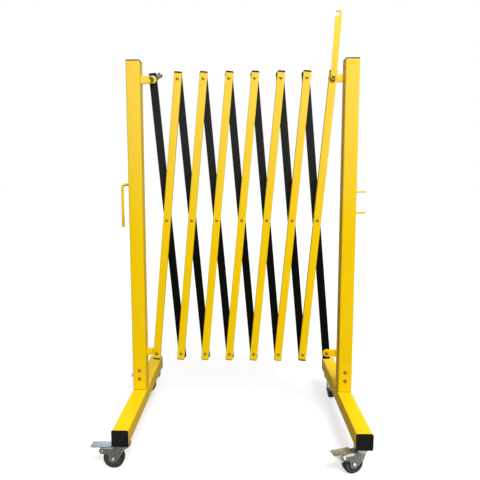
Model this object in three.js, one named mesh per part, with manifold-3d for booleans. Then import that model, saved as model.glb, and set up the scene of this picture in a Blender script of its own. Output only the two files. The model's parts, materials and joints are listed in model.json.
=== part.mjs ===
// Expandable safety barrier: a scissor lattice of yellow and black bars between two posts on casters.
// Millimetres, +X to the right, +Y away from the viewer, +Z up, floor at z = 0.
import * as THREE from "three";
import { mergeVertices } from "three/addons/utils/BufferGeometryUtils.js";
import Module from "manifold-3d";

const wasm = await Module();
wasm.setup();

// Clearances that every piece shares
const SEAT_GAP = 0.3;
const RUNNING_GAP = 0.5;
const CUT_OVERRUN = 5;

// Sides of the round pieces
const RIVET_SIDES = 8;
const BOLT_SIDES = 12;
const HEAD_SIDES = 20;
const WHEEL_SIDES = 24;
const CORNER_SEGMENTS = 2;
const END_SEGMENTS = 8;

// Posts: square steel tubes, and how far apart they stand at rest
const POST_SPACING = 614.2;
const POST_SIDE = 40;
const POST_WALL = 1.5;
const POST_CORNER = 3;
const OVERALL_HEIGHT = 1082;
const CAP_PLATE = 3;
const CAP_EDGE = 0.8;
const CAP_PLUG_DEPTH = 14;
const CAP_PLUG_WALL = 2.5;

// Foot: square steel tube from front to back, with the stub that the post slips over
const FOOT_SIDE = 42;
const FOOT_WALL = 2;
const FOOT_LENGTH = 500;
const STUB_WALL = 2;
const STUB_HEIGHT = 80;
const PLUG_PLATE = 3;
const PLUG_EDGE = 0.8;
const PLUG_DEPTH = 16;
const PLUG_WALL = 2.5;
const PLUG_PROUD = 0.7;

// Bolts through the post into its stub
const POST_BOLT_RADIUS = 3;
const POST_BOLT_HEAD_RADIUS = 5.2;
const POST_BOLT_HEAD = 3;
const POST_BOLT_TIP = 3;
const POST_BOLT_LOW = 36;
const POST_BOLT_SPACING = 26;

// Lattice: pivots of the bars and how far it folds and opens
const CELLS = 7;
const BAR_WIDTH = 22;
const BAR_DEPTH = 12;
const BAR_WALL = 1.5;
const BAR_END = 19.5;
const BAR_PLUG = 4.5;
const BAR_PLUG_CORNER = 2.5;
const LATTICE_GAP = 6;
const FOLDED_GAP = 1.85;
const OPEN_ANGLE = 38;
const UPPER_PIVOT_DROP = 52;

// Rivets, which are fixed in the yellow bars and pass through the black ones
const RIVET_RADIUS = 2.6;
const RIVET_HEAD_RADIUS = 4.3;
const RIVET_HEAD = 2.6;
const RIVET_BITE = 0.5;
const COLLAR_RADIUS = 8;

// Bracket tabs between the two planes of bars
const TAB_THICKNESS = 5;
const TAB_HEIGHT = 22;
const TAB_REACH = 33;
const TAB_BITE = 0.6;

// Guide shoe of the lower bracket, inside the post
const SHOE_HEIGHT = 40;
const SHOE_WALL = 3;
const SLOT_GAP = 0.4;
const SLOT_END_GAP = 0.8;
const FOLDED_SHOE_GAP = 10.35;

// Pivot bolts of the four brackets
const PIVOT_RADIUS = 3;
const PIVOT_HEAD_RADIUS = 5.3;
const PIVOT_HEAD = 3;
const PIVOT_NUT_RADIUS = 5.6;
const PIVOT_NUT = 4;

// Latch strap and the stud that it hooks on
const STRAP_WIDTH = 17;
const STRAP_THICKNESS = 3;
const STRAP_TILT = 3.6;
const STRAP_SPACER_RADIUS = 6;
const STRAP_PASSING_GAP = 1.2;
const NOTCH_RADIUS = 5.5;
const NOTCH_DEPTH = 12;
const STRAP_TIP = 4.5;
const STUD_RADIUS = 4;
const STUD_HEAD_RADIUS = 5.6;
const STUD_HEAD = 3;

// Clamp lever on the stud's rear end
const LEVER_HUB_RADIUS = 8;
const LEVER_HUB_TOP_RADIUS = 6.5;
const LEVER_HUB_HEIGHT = 11;
const LEVER_REACH = 23.5;
const LEVER_PAD_RADIUS = 7.5;
const LEVER_NECK = 9;
const LEVER_THICKNESS = 5;
const LEVER_STAND = 5;
const LEVER_TURN = 45;
const STUD_TAIL = 4;

// Link hook on the left post and link eyes on the right one
const LINK_OFFSET = 22;
const HOOK_ROD_RADIUS = 4;
const HOOK_BEND = 9;
const HOOK_HEIGHT = 733;
const HOOK_DROP = 125;
const HOOK_STEPS = 5;
const HOOK_SIDES = 10;
const EYE_HEIGHT = 711;
const EYE_SPACING = 60;
const EYE_THICKNESS = 5;
const EYE_EDGE_RADIUS = 9;
const EYE_HOLE_RADIUS = 5;

// Casters
const WHEEL_RADIUS = 27;
const WHEEL_WIDTH = 17;
const WHEEL_EDGE = 2.5;
const RIM_DEPTH = 6;
const RIM_RECESS = 3;
const HUB_WIDTH = 18;
const CASTER_HEIGHT = 74;
const CASTER_INSET = 34;
const CASTER_TRAIL = 24.5;
const AXLE_RADIUS = 4;
const AXLE_HEAD_RADIUS = 6;
const AXLE_HEAD = 2.8;
const FORK_PLATE = 2.5;
const FORK_WEB_LENGTH = 34;
const FORK_FRONT = 8;
const BULGE_FRONT = 13;
const BULGE_REACH = 12;
const BULGE_RISE = 9;
const FORK_END_RADIUS = 11.5;
const FORK_END_ANGLE = 35;
const FORK_NOTCH_RADIUS = 10;
const FORK_EAR_RADIUS = 8;
const SWIVEL_RADIUS = 20;
const SWIVEL_EDGE = 4;
const SWIVEL_HEIGHT = 12;
const KINGPIN_RADIUS = 5;
const KINGPIN_HEAD_RADIUS = 8;
const KINGPIN_HEAD = 2.6;
const KINGPIN_FLANGE_RADIUS = 16;
const KINGPIN_FLANGE_ROOM = 4;
const KINGPIN_STEM = 22;

// Brake pedals
const PEDAL_REACH = 83;
const PEDAL_HEEL = 30;
const PEDAL_PLATE = 2;
const PEDAL_FLANGE = 1.5;
const PEDAL_RISE = 0.8;
const PEDAL_PIN_RADIUS = 2;
const PEDAL_PIN_BACK = 53;
const PEDAL_PIN_DROP = 10;
const PEDAL_PIN_HEAD_RADIUS = 3.2;
const PEDAL_PIN_HEAD = 1.2;
const SKIRT_DROP = 12.5;
const SKIRT_BACK = 5;
const SKIRT_FRONT_DROP = 8;
const SKIRT_LIP = 3;
const SKIRT_LUG_RADIUS = 7.5;
const SKIRT_HEEL_GAP = 2;
const SKIRT_HEEL_DEPTH = 5;
const TONGUE_THICKNESS = 1.5;
const TONGUE_LENGTH = 8.1;
const TONGUE_LEAN = 30;

// Which way each caster trails, in degrees from -X towards -Y, as the photograph shows them.
// The right pair is of another pattern: bulged fork fronts and deep pedal skirts.
const CASTERS = [
  { end: "front", side: "left", turn: 0, bulged: false },
  { end: "rear", side: "left", turn: 0, bulged: false },
  { end: "front", side: "right", turn: 17, bulged: true },
  { end: "rear", side: "right", turn: 90, bulged: true },
];

// Finishes
const finish = (color, roughness, metalness) =>
  new THREE.MeshStandardMaterial({ color, roughness, metalness });
const YELLOW = finish(0xf5cc0a, 0.42, 0.0);
const BLACK_PAINT = finish(0x1b1c1d, 0.5, 0.0);
const BLACK_PLASTIC = finish(0x161616, 0.6, 0.0);
const ZINC = finish(0xb9bdc0, 0.32, 0.9);
const STEEL = finish(0xc9c9c6, 0.28, 1.0);
const TREAD = finish(0x35372f, 0.7, 0.0);

// Solids: three.js geometry to manifold and back
function solid(geometry) {
  const bare = geometry.clone();
  bare.deleteAttribute("normal");
  bare.deleteAttribute("uv");
  const merged = mergeVertices(bare);
  const vertProperties = new Float32Array(merged.attributes.position.array);
  const triVerts = new Uint32Array(merged.index.array);
  const made = new wasm.Manifold(new wasm.Mesh({ numProp: 3, vertProperties, triVerts }));
  if (made.volume() > 0) return made;
  for (let i = 0; i < triVerts.length; i += 3) {
    [triVerts[i], triVerts[i + 1]] = [triVerts[i + 1], triVerts[i]];
  }
  return new wasm.Manifold(new wasm.Mesh({ numProp: 3, vertProperties, triVerts }));
}

function part(name, shape, material) {
  const { vertProperties, triVerts } = shape.getMesh();
  const geometry = new THREE.BufferGeometry();
  geometry.setAttribute("position", new THREE.BufferAttribute(vertProperties, 3));
  geometry.setIndex(new THREE.BufferAttribute(triVerts, 1));
  const flat = geometry.toNonIndexed();
  flat.computeVertexNormals();
  const mesh = new THREE.Mesh(flat, material);
  mesh.name = name;
  return mesh;
}

const joined = (shapes) => shapes.reduce((whole, next) => whole.add(next));
const cut = (shape, holes) => holes.reduce((left, hole) => left.subtract(hole), shape);

// Box between two corners
function block([x0, y0, z0], [x1, y1, z1]) {
  const box = new THREE.BoxGeometry(x1 - x0, y1 - y0, z1 - z0);
  return solid(box.translate((x0 + x1) / 2, (y0 + y1) / 2, (z0 + z1) / 2));
}

// Round bar along an axis, centred across it, from one coordinate to another
function rod(axis, radius, from, to, [a, b] = [0, 0], sides = BOLT_SIDES) {
  const bar = new THREE.CylinderGeometry(radius, radius, to - from, sides);
  bar.translate(0, (from + to) / 2, 0);
  if (axis === "y") return solid(bar.translate(a, 0, b));
  bar.rotateX(Math.PI / 2);
  if (axis === "z") return solid(bar.translate(a, b, 0));
  return solid(bar.rotateY(Math.PI / 2).translate(0, a, b));
}

// Round hole whose flats stand at the given radius
function hole(axis, radius, from, to, at, sides = BOLT_SIDES) {
  return rod(axis, radius / Math.cos(Math.PI / sides), from, to, at, sides);
}

// Turned piece about the Y axis, from points of radius and place along the axis
function turned(profile, [x, z] = [0, 0], sides = BOLT_SIDES) {
  const points = profile.map(([radius, along]) => new THREE.Vector2(radius, along));
  return solid(new THREE.LatheGeometry(points, sides).translate(x, 0, z));
}

// The same about the Z axis
const turnedUpright = (profile, sides) => turned(profile, [0, 0], sides).rotate([90, 0, 0]);

// Square section with rounded corners
function roundedSquare(width, height, corner) {
  const [w, h] = [width / 2, height / 2];
  const shape = new THREE.Shape();
  shape.moveTo(corner - w, -h);
  shape.absarc(w - corner, corner - h, corner, -Math.PI / 2, 0, false);
  shape.absarc(w - corner, h - corner, corner, 0, Math.PI / 2, false);
  shape.absarc(corner - w, h - corner, corner, Math.PI / 2, Math.PI, false);
  shape.absarc(corner - w, corner - h, corner, Math.PI, 1.5 * Math.PI, false);
  return shape;
}

// A flat outline pulled straight along Z from 0
function pulled(shape, depth, curveSegments = CORNER_SEGMENTS) {
  return new THREE.ExtrudeGeometry(shape, { depth, bevelEnabled: false, curveSegments, steps: 1 });
}

// An outline drawn across X and up Z, pulled along Y between two places
function plate(shape, from, to, curveSegments) {
  const sheet = pulled(shape, to - from, curveSegments);
  return solid(sheet.rotateX(Math.PI / 2).translate(0, to, 0));
}

function polygon(points) {
  return new THREE.Shape(points.map(([x, y]) => new THREE.Vector2(x, y)));
}

const radians = THREE.MathUtils.degToRad;

// Places that follow from the sizes
const footTop = CASTER_HEIGHT + FOOT_SIDE;
const upperPivotHeight = OVERALL_HEIGHT - UPPER_PIVOT_DROP;
const foldedLowerPivot = footTop + STUB_HEIGHT + FOLDED_SHOE_GAP + SHOE_HEIGHT / 2;
const foldedCell = BAR_WIDTH + FOLDED_GAP;
const barPitch = Math.hypot(foldedCell, upperPivotHeight - foldedLowerPivot);
const cellAtRest = (POST_SPACING - POST_SIDE - 2 * TAB_REACH) / CELLS;
const restAngle = Math.asin(cellAtRest / barPitch);
const latchReach = CELLS * foldedCell;
const lowerPivotHeight = (angle) => upperPivotHeight - barPitch * Math.cos(angle);
const restLowerPivot = lowerPivotHeight(restAngle);
const pivotX = (i) => (i - CELLS / 2) * cellAtRest;
const postX = POST_SPACING / 2;
const postTop = OVERALL_HEIGHT - CAP_PLATE - SEAT_GAP;
const postBore = POST_SIDE - 2 * POST_WALL;
const yellowFront = -LATTICE_GAP / 2 - BAR_DEPTH;
const yellowBack = -LATTICE_GAP / 2;
const blackFront = LATTICE_GAP / 2;
const blackBack = LATTICE_GAP / 2 + BAR_DEPTH;
const rivetHole = RIVET_RADIUS + SEAT_GAP;
const pivotHole = PIVOT_RADIUS + SEAT_GAP;
const postBoltHole = POST_BOLT_RADIUS + SEAT_GAP;

// Square tube plug: an edge-chamfered plate at z = 0 and up, with a hollow skirt below it
function squarePlug(side, corner, plateThickness, edge, bore, depth, wall) {
  const face = roundedSquare(side - 2 * edge, side - 2 * edge, corner - edge);
  const top = new THREE.ExtrudeGeometry(face, {
    depth: plateThickness - edge,
    bevelEnabled: true,
    bevelThickness: edge,
    bevelSize: edge,
    bevelSegments: 1,
    curveSegments: CORNER_SEGMENTS,
  });
  const lower = block([-side, -side, -CUT_OVERRUN], [side, side, 0]);
  const skirtSide = bore - 2 * SEAT_GAP;
  const [s, hollow] = [skirtSide / 2, skirtSide / 2 - wall];
  const skirt = block([-s, -s, -depth], [s, s, edge]);
  const well = block([-hollow, -hollow, -depth - CUT_OVERRUN], [hollow, hollow, 0]);
  return joined([cut(solid(top), [lower]), skirt]).subtract(well);
}

// Bracket tab from x = 0 at its root to the pivot at x = reach, with a round end and the pivot hole
function tab(reach, inward, root) {
  const r = TAB_HEIGHT / 2;
  const outline = new THREE.Shape();
  outline.moveTo(-root, -r);
  outline.absarc(reach, 0, r, -Math.PI / 2, Math.PI / 2, false);
  outline.lineTo(-root, r);
  const half = TAB_THICKNESS / 2;
  const flat = plate(outline, -half, half, END_SEGMENTS);
  const made = flat.subtract(hole("y", pivotHole, -half - CUT_OVERRUN, half + CUT_OVERRUN, [reach, 0]));
  return inward > 0 ? made : made.mirror([1, 0, 0]);
}

// Posts: each has its tab welded to its inner face and a slot below for the sliding bracket
const slotLow = foldedLowerPivot - TAB_HEIGHT / 2 - SLOT_END_GAP;
const slotHigh = lowerPivotHeight(radians(OPEN_ANGLE)) + TAB_HEIGHT / 2 + SLOT_END_GAP;

function postBoltHeights() {
  const low = footTop + POST_BOLT_LOW;
  return { lower: low, upper: low + POST_BOLT_SPACING };
}

function post(side) {
  const inward = -side;
  const half = POST_SIDE / 2;
  const length = postTop - footTop - SEAT_GAP;
  const tube = solid(pulled(roundedSquare(POST_SIDE, POST_SIDE, POST_CORNER), length));
  const bore = postBore / 2;
  const inside = block([-bore, -bore, -CUT_OVERRUN], [bore, bore, length + CUT_OVERRUN]);
  const slotHalf = TAB_THICKNESS / 2 + SLOT_GAP;
  const slotEnds = [inward * (bore - CUT_OVERRUN), inward * (half + CUT_OVERRUN)].sort((a, b) => a - b);
  const base = footTop + SEAT_GAP;
  const slot = block([slotEnds[0], -slotHalf, slotLow - base], [slotEnds[1], slotHalf, slotHigh - base]);
  const boltHoles = Object.values(postBoltHeights()).map((height) =>
    hole("y", postBoltHole, -half - CUT_OVERRUN, 0, [0, height - base]),
  );
  const shell = cut(tube, [inside, slot, ...boltHoles]);
  const bracket = tab(TAB_REACH, inward, TAB_BITE).translate([inward * half, 0, upperPivotHeight - base]);
  return shell.add(bracket).translate([side * postX, 0, base]);
}

// Feet, each with its stub and the holes for two kingpins
const casterY = FOOT_LENGTH / 2 - CASTER_INSET;

function foot(side) {
  const tubeHalf = FOOT_LENGTH / 2 - PLUG_PLATE - SEAT_GAP;
  const section = roundedSquare(FOOT_SIDE, FOOT_SIDE, POST_CORNER);
  const tube = plate(section, -tubeHalf, tubeHalf);
  const bore = FOOT_SIDE / 2 - FOOT_WALL;
  const inside = block([-bore, -tubeHalf - CUT_OVERRUN, -bore], [bore, tubeHalf + CUT_OVERRUN, bore]);
  const holes = [-casterY, casterY].map((y) =>
    hole("z", KINGPIN_RADIUS + SEAT_GAP, -FOOT_SIDE / 2 - CUT_OVERRUN, 0, [0, y]),
  );
  const outer = postBore / 2 - SEAT_GAP;
  const inner = outer - STUB_WALL;
  const top = FOOT_SIDE / 2;
  const stub = block([-outer, -outer, top - FOOT_WALL / 2], [outer, outer, top + STUB_HEIGHT]);
  const well = block([-inner, -inner, top], [inner, inner, top + STUB_HEIGHT + CUT_OVERRUN]);
  const middle = CASTER_HEIGHT + FOOT_SIDE / 2;
  const boltHoles = Object.values(postBoltHeights()).map((height) =>
    hole("y", postBoltHole, -outer - CUT_OVERRUN, 0, [0, height - middle]),
  );
  const body = cut(tube, [inside, ...holes]).add(cut(stub, [well, ...boltHoles]));
  return body.translate([side * postX, 0, middle]);
}

function footPlug(side, end) {
  const bore = FOOT_SIDE - 2 * FOOT_WALL;
  const faceSide = FOOT_SIDE + 2 * PLUG_PROUD;
  const plug = squarePlug(faceSide, POST_CORNER, PLUG_PLATE, PLUG_EDGE, bore, PLUG_DEPTH, PLUG_WALL);
  const faced = plug.rotate([end > 0 ? -90 : 90, 0, 0]);
  const outerFace = FOOT_LENGTH / 2 - PLUG_PLATE;
  return faced.translate([side * postX, end * outerFace, CASTER_HEIGHT + FOOT_SIDE / 2]);
}

function postCap(side) {
  const [edge, depth, wall] = [CAP_EDGE, CAP_PLUG_DEPTH, CAP_PLUG_WALL];
  const cap = squarePlug(POST_SIDE, POST_CORNER, CAP_PLATE, edge, postBore, depth, wall);
  return cap.translate([side * postX, 0, postTop + SEAT_GAP]);
}

// Low dome of a head that faces -Y (facing < 0) or +Y, as profile points from the axis out
function dome(radius, height, base, facing) {
  const shares = [[0, 1], [0.65, 0.8], [1, 0]];
  return shares.map(([across, up]) => [across * radius, base + facing * up * height]);
}

function postBolt(side, height) {
  const seat = -POST_SIDE / 2 - SEAT_GAP;
  const tip = -(postBore / 2 - SEAT_GAP - STUB_WALL) + POST_BOLT_TIP;
  const profile = [
    ...dome(POST_BOLT_HEAD_RADIUS, POST_BOLT_HEAD, seat, -1),
    [POST_BOLT_RADIUS, seat],
    [POST_BOLT_RADIUS, tip],
    [0, tip],
  ];
  return turned(profile, [side * postX, height]);
}

// Lower brackets: a guide shoe inside the post and a tab out through the slot
function lowerSlider(side) {
  const inward = -side;
  const half = postBore / 2 - RUNNING_GAP;
  const hollow = half - SHOE_WALL;
  const high = SHOE_HEIGHT / 2;
  const shoe = block([-half, -half, -high], [half, half, high]).subtract(
    block([-hollow, -hollow, -high - CUT_OVERRUN], [hollow, hollow, high + CUT_OVERRUN]),
  );
  const root = POST_SIDE / 2 - half + TAB_BITE;
  const arm = tab(TAB_REACH, inward, root).translate([inward * POST_SIDE / 2, 0, 0]);
  return shoe.add(arm).translate([side * postX, 0, restLowerPivot]);
}

// Bars: flat tubes closed by plugs with cut corners, drawn upright from the lower pivot at z = 0
function barTube(front, back) {
  const w = BAR_WIDTH / 2;
  const c = w - BAR_PLUG_CORNER;
  const [low, high] = [-BAR_END, barPitch + BAR_END];
  const [shoulderLow, shoulderHigh] = [low + BAR_PLUG_CORNER, high - BAR_PLUG_CORNER];
  const outline = polygon([
    [-c, low], [c, low], [w, shoulderLow], [w, shoulderHigh],
    [c, high], [-c, high], [-w, shoulderHigh], [-w, shoulderLow],
  ]);
  const bore = w - BAR_WALL;
  const inside = block(
    [-bore, front + BAR_WALL, low + BAR_PLUG],
    [bore, back - BAR_WALL, high - BAR_PLUG],
  );
  return plate(outline, front, back).subtract(inside);
}

function rivet(along) {
  const profile = [
    ...dome(RIVET_HEAD_RADIUS, RIVET_HEAD, yellowFront, -1),
    [RIVET_HEAD_RADIUS, yellowFront + RIVET_BITE],
    [RIVET_RADIUS, yellowFront + RIVET_BITE],
    [RIVET_RADIUS, yellowBack + SEAT_GAP],
    [COLLAR_RADIUS, yellowBack + SEAT_GAP],
    [COLLAR_RADIUS, blackFront - SEAT_GAP],
    [RIVET_RADIUS, blackFront - SEAT_GAP],
    [RIVET_RADIUS, blackBack + SEAT_GAP],
    ...dome(RIVET_HEAD_RADIUS, RIVET_HEAD, blackBack + SEAT_GAP, 1).reverse(),
  ];
  return turned(profile, [0, along], RIVET_SIDES);
}

function yellowBar(i) {
  const ends = [
    { along: 0, riveted: i > 0 },
    { along: barPitch / 2, riveted: true },
    { along: barPitch, riveted: i < CELLS - 1 },
  ];
  const tube = barTube(yellowFront, yellowBack);
  const holes = ends.map(({ along, riveted }) =>
    riveted
      ? hole("y", rivetHole, yellowBack - BAR_DEPTH / 2, yellowBack + CUT_OVERRUN, [0, along], RIVET_SIDES)
      : hole("y", pivotHole, yellowFront - CUT_OVERRUN, yellowBack + CUT_OVERRUN, [0, along]),
  );
  const rivets = ends.filter((end) => end.riveted).map((end) => rivet(end.along));
  return joined([cut(tube, holes), ...rivets]);
}

function blackBar(i) {
  const holes = [
    [0, i < CELLS - 1 ? rivetHole : pivotHole],
    [barPitch / 2, rivetHole],
    [barPitch, i > 0 ? rivetHole : pivotHole],
  ];
  const through = holes.map(([along, radius]) =>
    hole("y", radius, blackFront - CUT_OVERRUN, blackBack + CUT_OVERRUN, [0, along], RIVET_SIDES),
  );
  return cut(barTube(blackFront, blackBack), through);
}

// Pivot bolts: a domed head in front, the shank through the bracket, and a nut or head behind
function pivotBolt(headSeat, nutSeat, spacer = []) {
  return turned([
    ...dome(PIVOT_HEAD_RADIUS, PIVOT_HEAD, headSeat, -1),
    [PIVOT_RADIUS, headSeat],
    ...spacer,
    [PIVOT_RADIUS, nutSeat],
    [PIVOT_NUT_RADIUS, nutSeat],
    [PIVOT_NUT_RADIUS, nutSeat + PIVOT_NUT],
    [0, nutSeat + PIVOT_NUT],
  ]);
}

const tabFront = -TAB_THICKNESS / 2 - SEAT_GAP;
const tabBack = TAB_THICKNESS / 2 + SEAT_GAP;
const strapBack = yellowFront - RIVET_HEAD - STRAP_PASSING_GAP;
const strapFront = strapBack - STRAP_THICKNESS;

const upperRightSpacer = [
  [PIVOT_RADIUS, strapBack + SEAT_GAP],
  [STRAP_SPACER_RADIUS, strapBack + SEAT_GAP],
  [STRAP_SPACER_RADIUS, yellowFront - SEAT_GAP],
  [PIVOT_RADIUS, yellowFront - SEAT_GAP],
];

// Stud of the upper left bracket: the strap hooks on its sleeve, and its tail carries the clamp lever
const leverSeat = blackBack + SEAT_GAP;
const studEnd = leverSeat + LEVER_HUB_HEIGHT + STUD_TAIL;
const studHeadSeat = strapFront - RUNNING_GAP;

function latchStud() {
  return turned([
    ...dome(STUD_HEAD_RADIUS, STUD_HEAD, studHeadSeat, -1),
    [STUD_RADIUS, studHeadSeat],
    [STUD_RADIUS, tabFront],
    [PIVOT_RADIUS, tabFront],
    [PIVOT_RADIUS, studEnd],
    [0, studEnd],
  ]);
}

// Clamp lever: a tapered hub and one flat arm with a round thumb pad
function clampLever() {
  const hub = turned([
    [0, 0],
    [LEVER_HUB_RADIUS, 0],
    [LEVER_HUB_TOP_RADIUS, LEVER_HUB_HEIGHT],
    [0, LEVER_HUB_HEIGHT],
  ]);
  const neck = LEVER_NECK / 2;
  const outline = new THREE.Shape();
  outline.moveTo(0, -neck);
  outline.lineTo(LEVER_REACH - LEVER_PAD_RADIUS, -neck);
  outline.absarc(LEVER_REACH, 0, LEVER_PAD_RADIUS, -Math.PI / 2, Math.PI / 2, false);
  outline.lineTo(LEVER_REACH - LEVER_PAD_RADIUS, neck);
  outline.lineTo(0, neck);
  const arm = plate(outline, LEVER_STAND, LEVER_STAND + LEVER_THICKNESS, END_SEGMENTS);
  const bore = rod("y", pivotHole, -CUT_OVERRUN, LEVER_HUB_HEIGHT + CUT_OVERRUN);
  return hub.add(arm).subtract(bore).rotate([0, -LEVER_TURN, 0]);
}

// Latch strap, drawn upright from its pivot, with the hook notch open towards -X
function latchStrap() {
  const w = STRAP_WIDTH / 2;
  const notchCentre = NOTCH_DEPTH - NOTCH_RADIUS - w;
  const along = Math.sqrt(latchReach ** 2 - notchCentre ** 2);
  const top = along + NOTCH_RADIUS + STRAP_TIP;
  const outline = new THREE.Shape();
  outline.absarc(0, 0, w, Math.PI, 2 * Math.PI, false);
  outline.lineTo(w, top);
  outline.lineTo(STRAP_TIP - w, top);
  outline.lineTo(-w, top - STRAP_TIP / 2);
  outline.lineTo(-w, along + NOTCH_RADIUS);
  outline.absarc(notchCentre, along, NOTCH_RADIUS, Math.PI / 2, -Math.PI / 2, true);
  outline.lineTo(-w, along - NOTCH_RADIUS);
  const strip = plate(outline, strapFront, strapBack, END_SEGMENTS);
  return strip.subtract(hole("y", pivotHole, strapFront - CUT_OVERRUN, strapBack + CUT_OVERRUN));
}

// Link hook: a rod that leaves the left post's outer face and bends down
function linkHook() {
  const run = HOOK_BEND - LINK_OFFSET;
  const bend = new THREE.QuadraticBezierCurve3(
    new THREE.Vector3(run, 0, 0),
    new THREE.Vector3(-LINK_OFFSET, 0, 0),
    new THREE.Vector3(-LINK_OFFSET, 0, -HOOK_BEND),
  );
  const section = new THREE.Shape().absarc(0, 0, HOOK_ROD_RADIUS, 0, 2 * Math.PI, false);
  const elbow = new THREE.ExtrudeGeometry(section, {
    steps: HOOK_STEPS,
    curveSegments: HOOK_SIDES,
    extrudePath: bend,
  });
  const pieces = [
    rod("x", HOOK_ROD_RADIUS, run - SEAT_GAP, -SEAT_GAP, [0, 0], HOOK_SIDES),
    solid(elbow),
    rod("z", HOOK_ROD_RADIUS, -HOOK_DROP, SEAT_GAP - HOOK_BEND, [-LINK_OFFSET, 0], HOOK_SIDES),
  ];
  return joined(pieces).translate([-postX - POST_SIDE / 2, 0, HOOK_HEIGHT]);
}

function linkEye(height) {
  const face = postX + POST_SIDE / 2;
  const outline = new THREE.Shape();
  outline.moveTo(SEAT_GAP, -EYE_EDGE_RADIUS);
  outline.absarc(LINK_OFFSET, 0, EYE_EDGE_RADIUS, -Math.PI / 2, Math.PI / 2, false);
  outline.lineTo(SEAT_GAP, EYE_EDGE_RADIUS);
  const flat = solid(pulled(outline, EYE_THICKNESS, END_SEGMENTS));
  const eye = hole("z", EYE_HOLE_RADIUS, -CUT_OVERRUN, EYE_THICKNESS + CUT_OVERRUN, [LINK_OFFSET, 0]);
  return flat.subtract(eye).translate([face, 0, height - EYE_THICKNESS / 2]);
}

// Casters are drawn about their kingpin, standing on z = 0 and trailing towards -X
const forkInner = (HUB_WIDTH + RUNNING_GAP) / 2;
const forkOuter = forkInner + FORK_PLATE;
const skirtOuter = forkInner - RUNNING_GAP;
const skirtInner = skirtOuter - PEDAL_FLANGE;
const pedalHalf = forkOuter + PEDAL_FLANGE;
const swivelTop = CASTER_HEIGHT - KINGPIN_FLANGE_ROOM;
const forkTop = swivelTop - SWIVEL_HEIGHT;
const pedalPinHeight = forkTop - PEDAL_PIN_DROP;
const pedalTop = forkTop + PEDAL_RISE + PEDAL_PLATE;

// Side of the fork: the web on top, the ear for the pedal's pin, a notch behind the wheel and the axle end
function forkSide(bulged) {
  const [earX, earZ] = [-PEDAL_PIN_BACK, pedalPinHeight];
  const notchX = -CASTER_TRAIL - FORK_END_RADIUS - FORK_NOTCH_RADIUS;
  const notchZ = earZ - FORK_EAR_RADIUS - FORK_NOTCH_RADIUS;
  const frontX = bulged ? BULGE_FRONT : FORK_FRONT;
  const side = new THREE.Shape();
  side.moveTo(frontX, forkTop);
  side.lineTo(-FORK_WEB_LENGTH, forkTop);
  side.absarc(earX, earZ, FORK_EAR_RADIUS, Math.PI / 2, 1.5 * Math.PI, false);
  side.absarc(notchX, notchZ, FORK_NOTCH_RADIUS, Math.PI / 2, 0, true);
  side.absarc(-CASTER_TRAIL, WHEEL_RADIUS, FORK_END_RADIUS, Math.PI, radians(-FORK_END_ANGLE), false);
  if (bulged) side.quadraticCurveTo(BULGE_REACH, WHEEL_RADIUS + BULGE_RISE, frontX, forkTop - FORK_PLATE);
  else side.lineTo(frontX, forkTop - FORK_PLATE);
  return side;
}

function casterFork(bulged) {
  const under = forkTop - FORK_PLATE;
  const plates = [[-forkOuter, -forkInner], [forkInner, forkOuter]].map(([from, to]) =>
    plate(forkSide(bulged), from, to, CORNER_SEGMENTS * 2),
  );
  const web = block([-FORK_WEB_LENGTH, -forkOuter, under], [FORK_FRONT, forkOuter, forkTop]);
  const head = turnedUpright(
    [
      [0, under],
      [SWIVEL_RADIUS - SWIVEL_EDGE, under],
      [SWIVEL_RADIUS, forkTop + SWIVEL_EDGE],
      [SWIVEL_RADIUS, swivelTop],
      [0, swivelTop],
    ],
    HEAD_SIDES,
  );
  const y = pedalHalf + CUT_OVERRUN;
  const pin = [-PEDAL_PIN_BACK, pedalPinHeight];
  return cut(joined([...plates, web, head]), [
    hole("z", KINGPIN_RADIUS + SEAT_GAP, 0, CASTER_HEIGHT),
    hole("y", AXLE_RADIUS + SEAT_GAP, -y, y, [-CASTER_TRAIL, WHEEL_RADIUS]),
    hole("y", PEDAL_PIN_RADIUS + SEAT_GAP, -y, y, pin, RIVET_SIDES),
  ]);
}

function casterKingpin() {
  const under = forkTop - FORK_PLATE - SEAT_GAP;
  const flange = swivelTop + SEAT_GAP;
  const seat = CASTER_HEIGHT - SEAT_GAP;
  return turnedUpright([
    [0, under - KINGPIN_HEAD],
    [KINGPIN_HEAD_RADIUS, under - KINGPIN_HEAD],
    [KINGPIN_HEAD_RADIUS, under],
    [KINGPIN_RADIUS, under],
    [KINGPIN_RADIUS, flange],
    [KINGPIN_FLANGE_RADIUS, flange],
    [KINGPIN_FLANGE_RADIUS, seat],
    [KINGPIN_RADIUS, seat],
    [KINGPIN_RADIUS, seat + KINGPIN_STEM],
    [0, seat + KINGPIN_STEM],
  ]);
}

function casterWheel() {
  const bore = (AXLE_RADIUS + SEAT_GAP) / Math.cos(Math.PI / WHEEL_SIDES);
  const tread = WHEEL_WIDTH / 2;
  const rim = WHEEL_RADIUS - RIM_DEPTH;
  const half = [
    [bore, -HUB_WIDTH / 2],
    [rim, RIM_RECESS - tread],
    [WHEEL_RADIUS - WHEEL_EDGE, -tread],
    [WHEEL_RADIUS, WHEEL_EDGE - tread],
  ];
  const mirrored = half.map(([r, y]) => [r, -y]).reverse();
  return turned([...half, ...mirrored, half[0]], [-CASTER_TRAIL, WHEEL_RADIUS], WHEEL_SIDES);
}

function casterAxle() {
  const seat = forkOuter + SEAT_GAP;
  const profile = [
    ...dome(AXLE_HEAD_RADIUS, AXLE_HEAD, -seat, -1),
    [AXLE_RADIUS, -seat],
    [AXLE_RADIUS, seat],
    [AXLE_HEAD_RADIUS, seat],
    [AXLE_HEAD_RADIUS, seat + AXLE_HEAD],
    [0, seat + AXLE_HEAD],
  ];
  return turned(profile, [-CASTER_TRAIL, WHEEL_RADIUS]);
}

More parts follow.
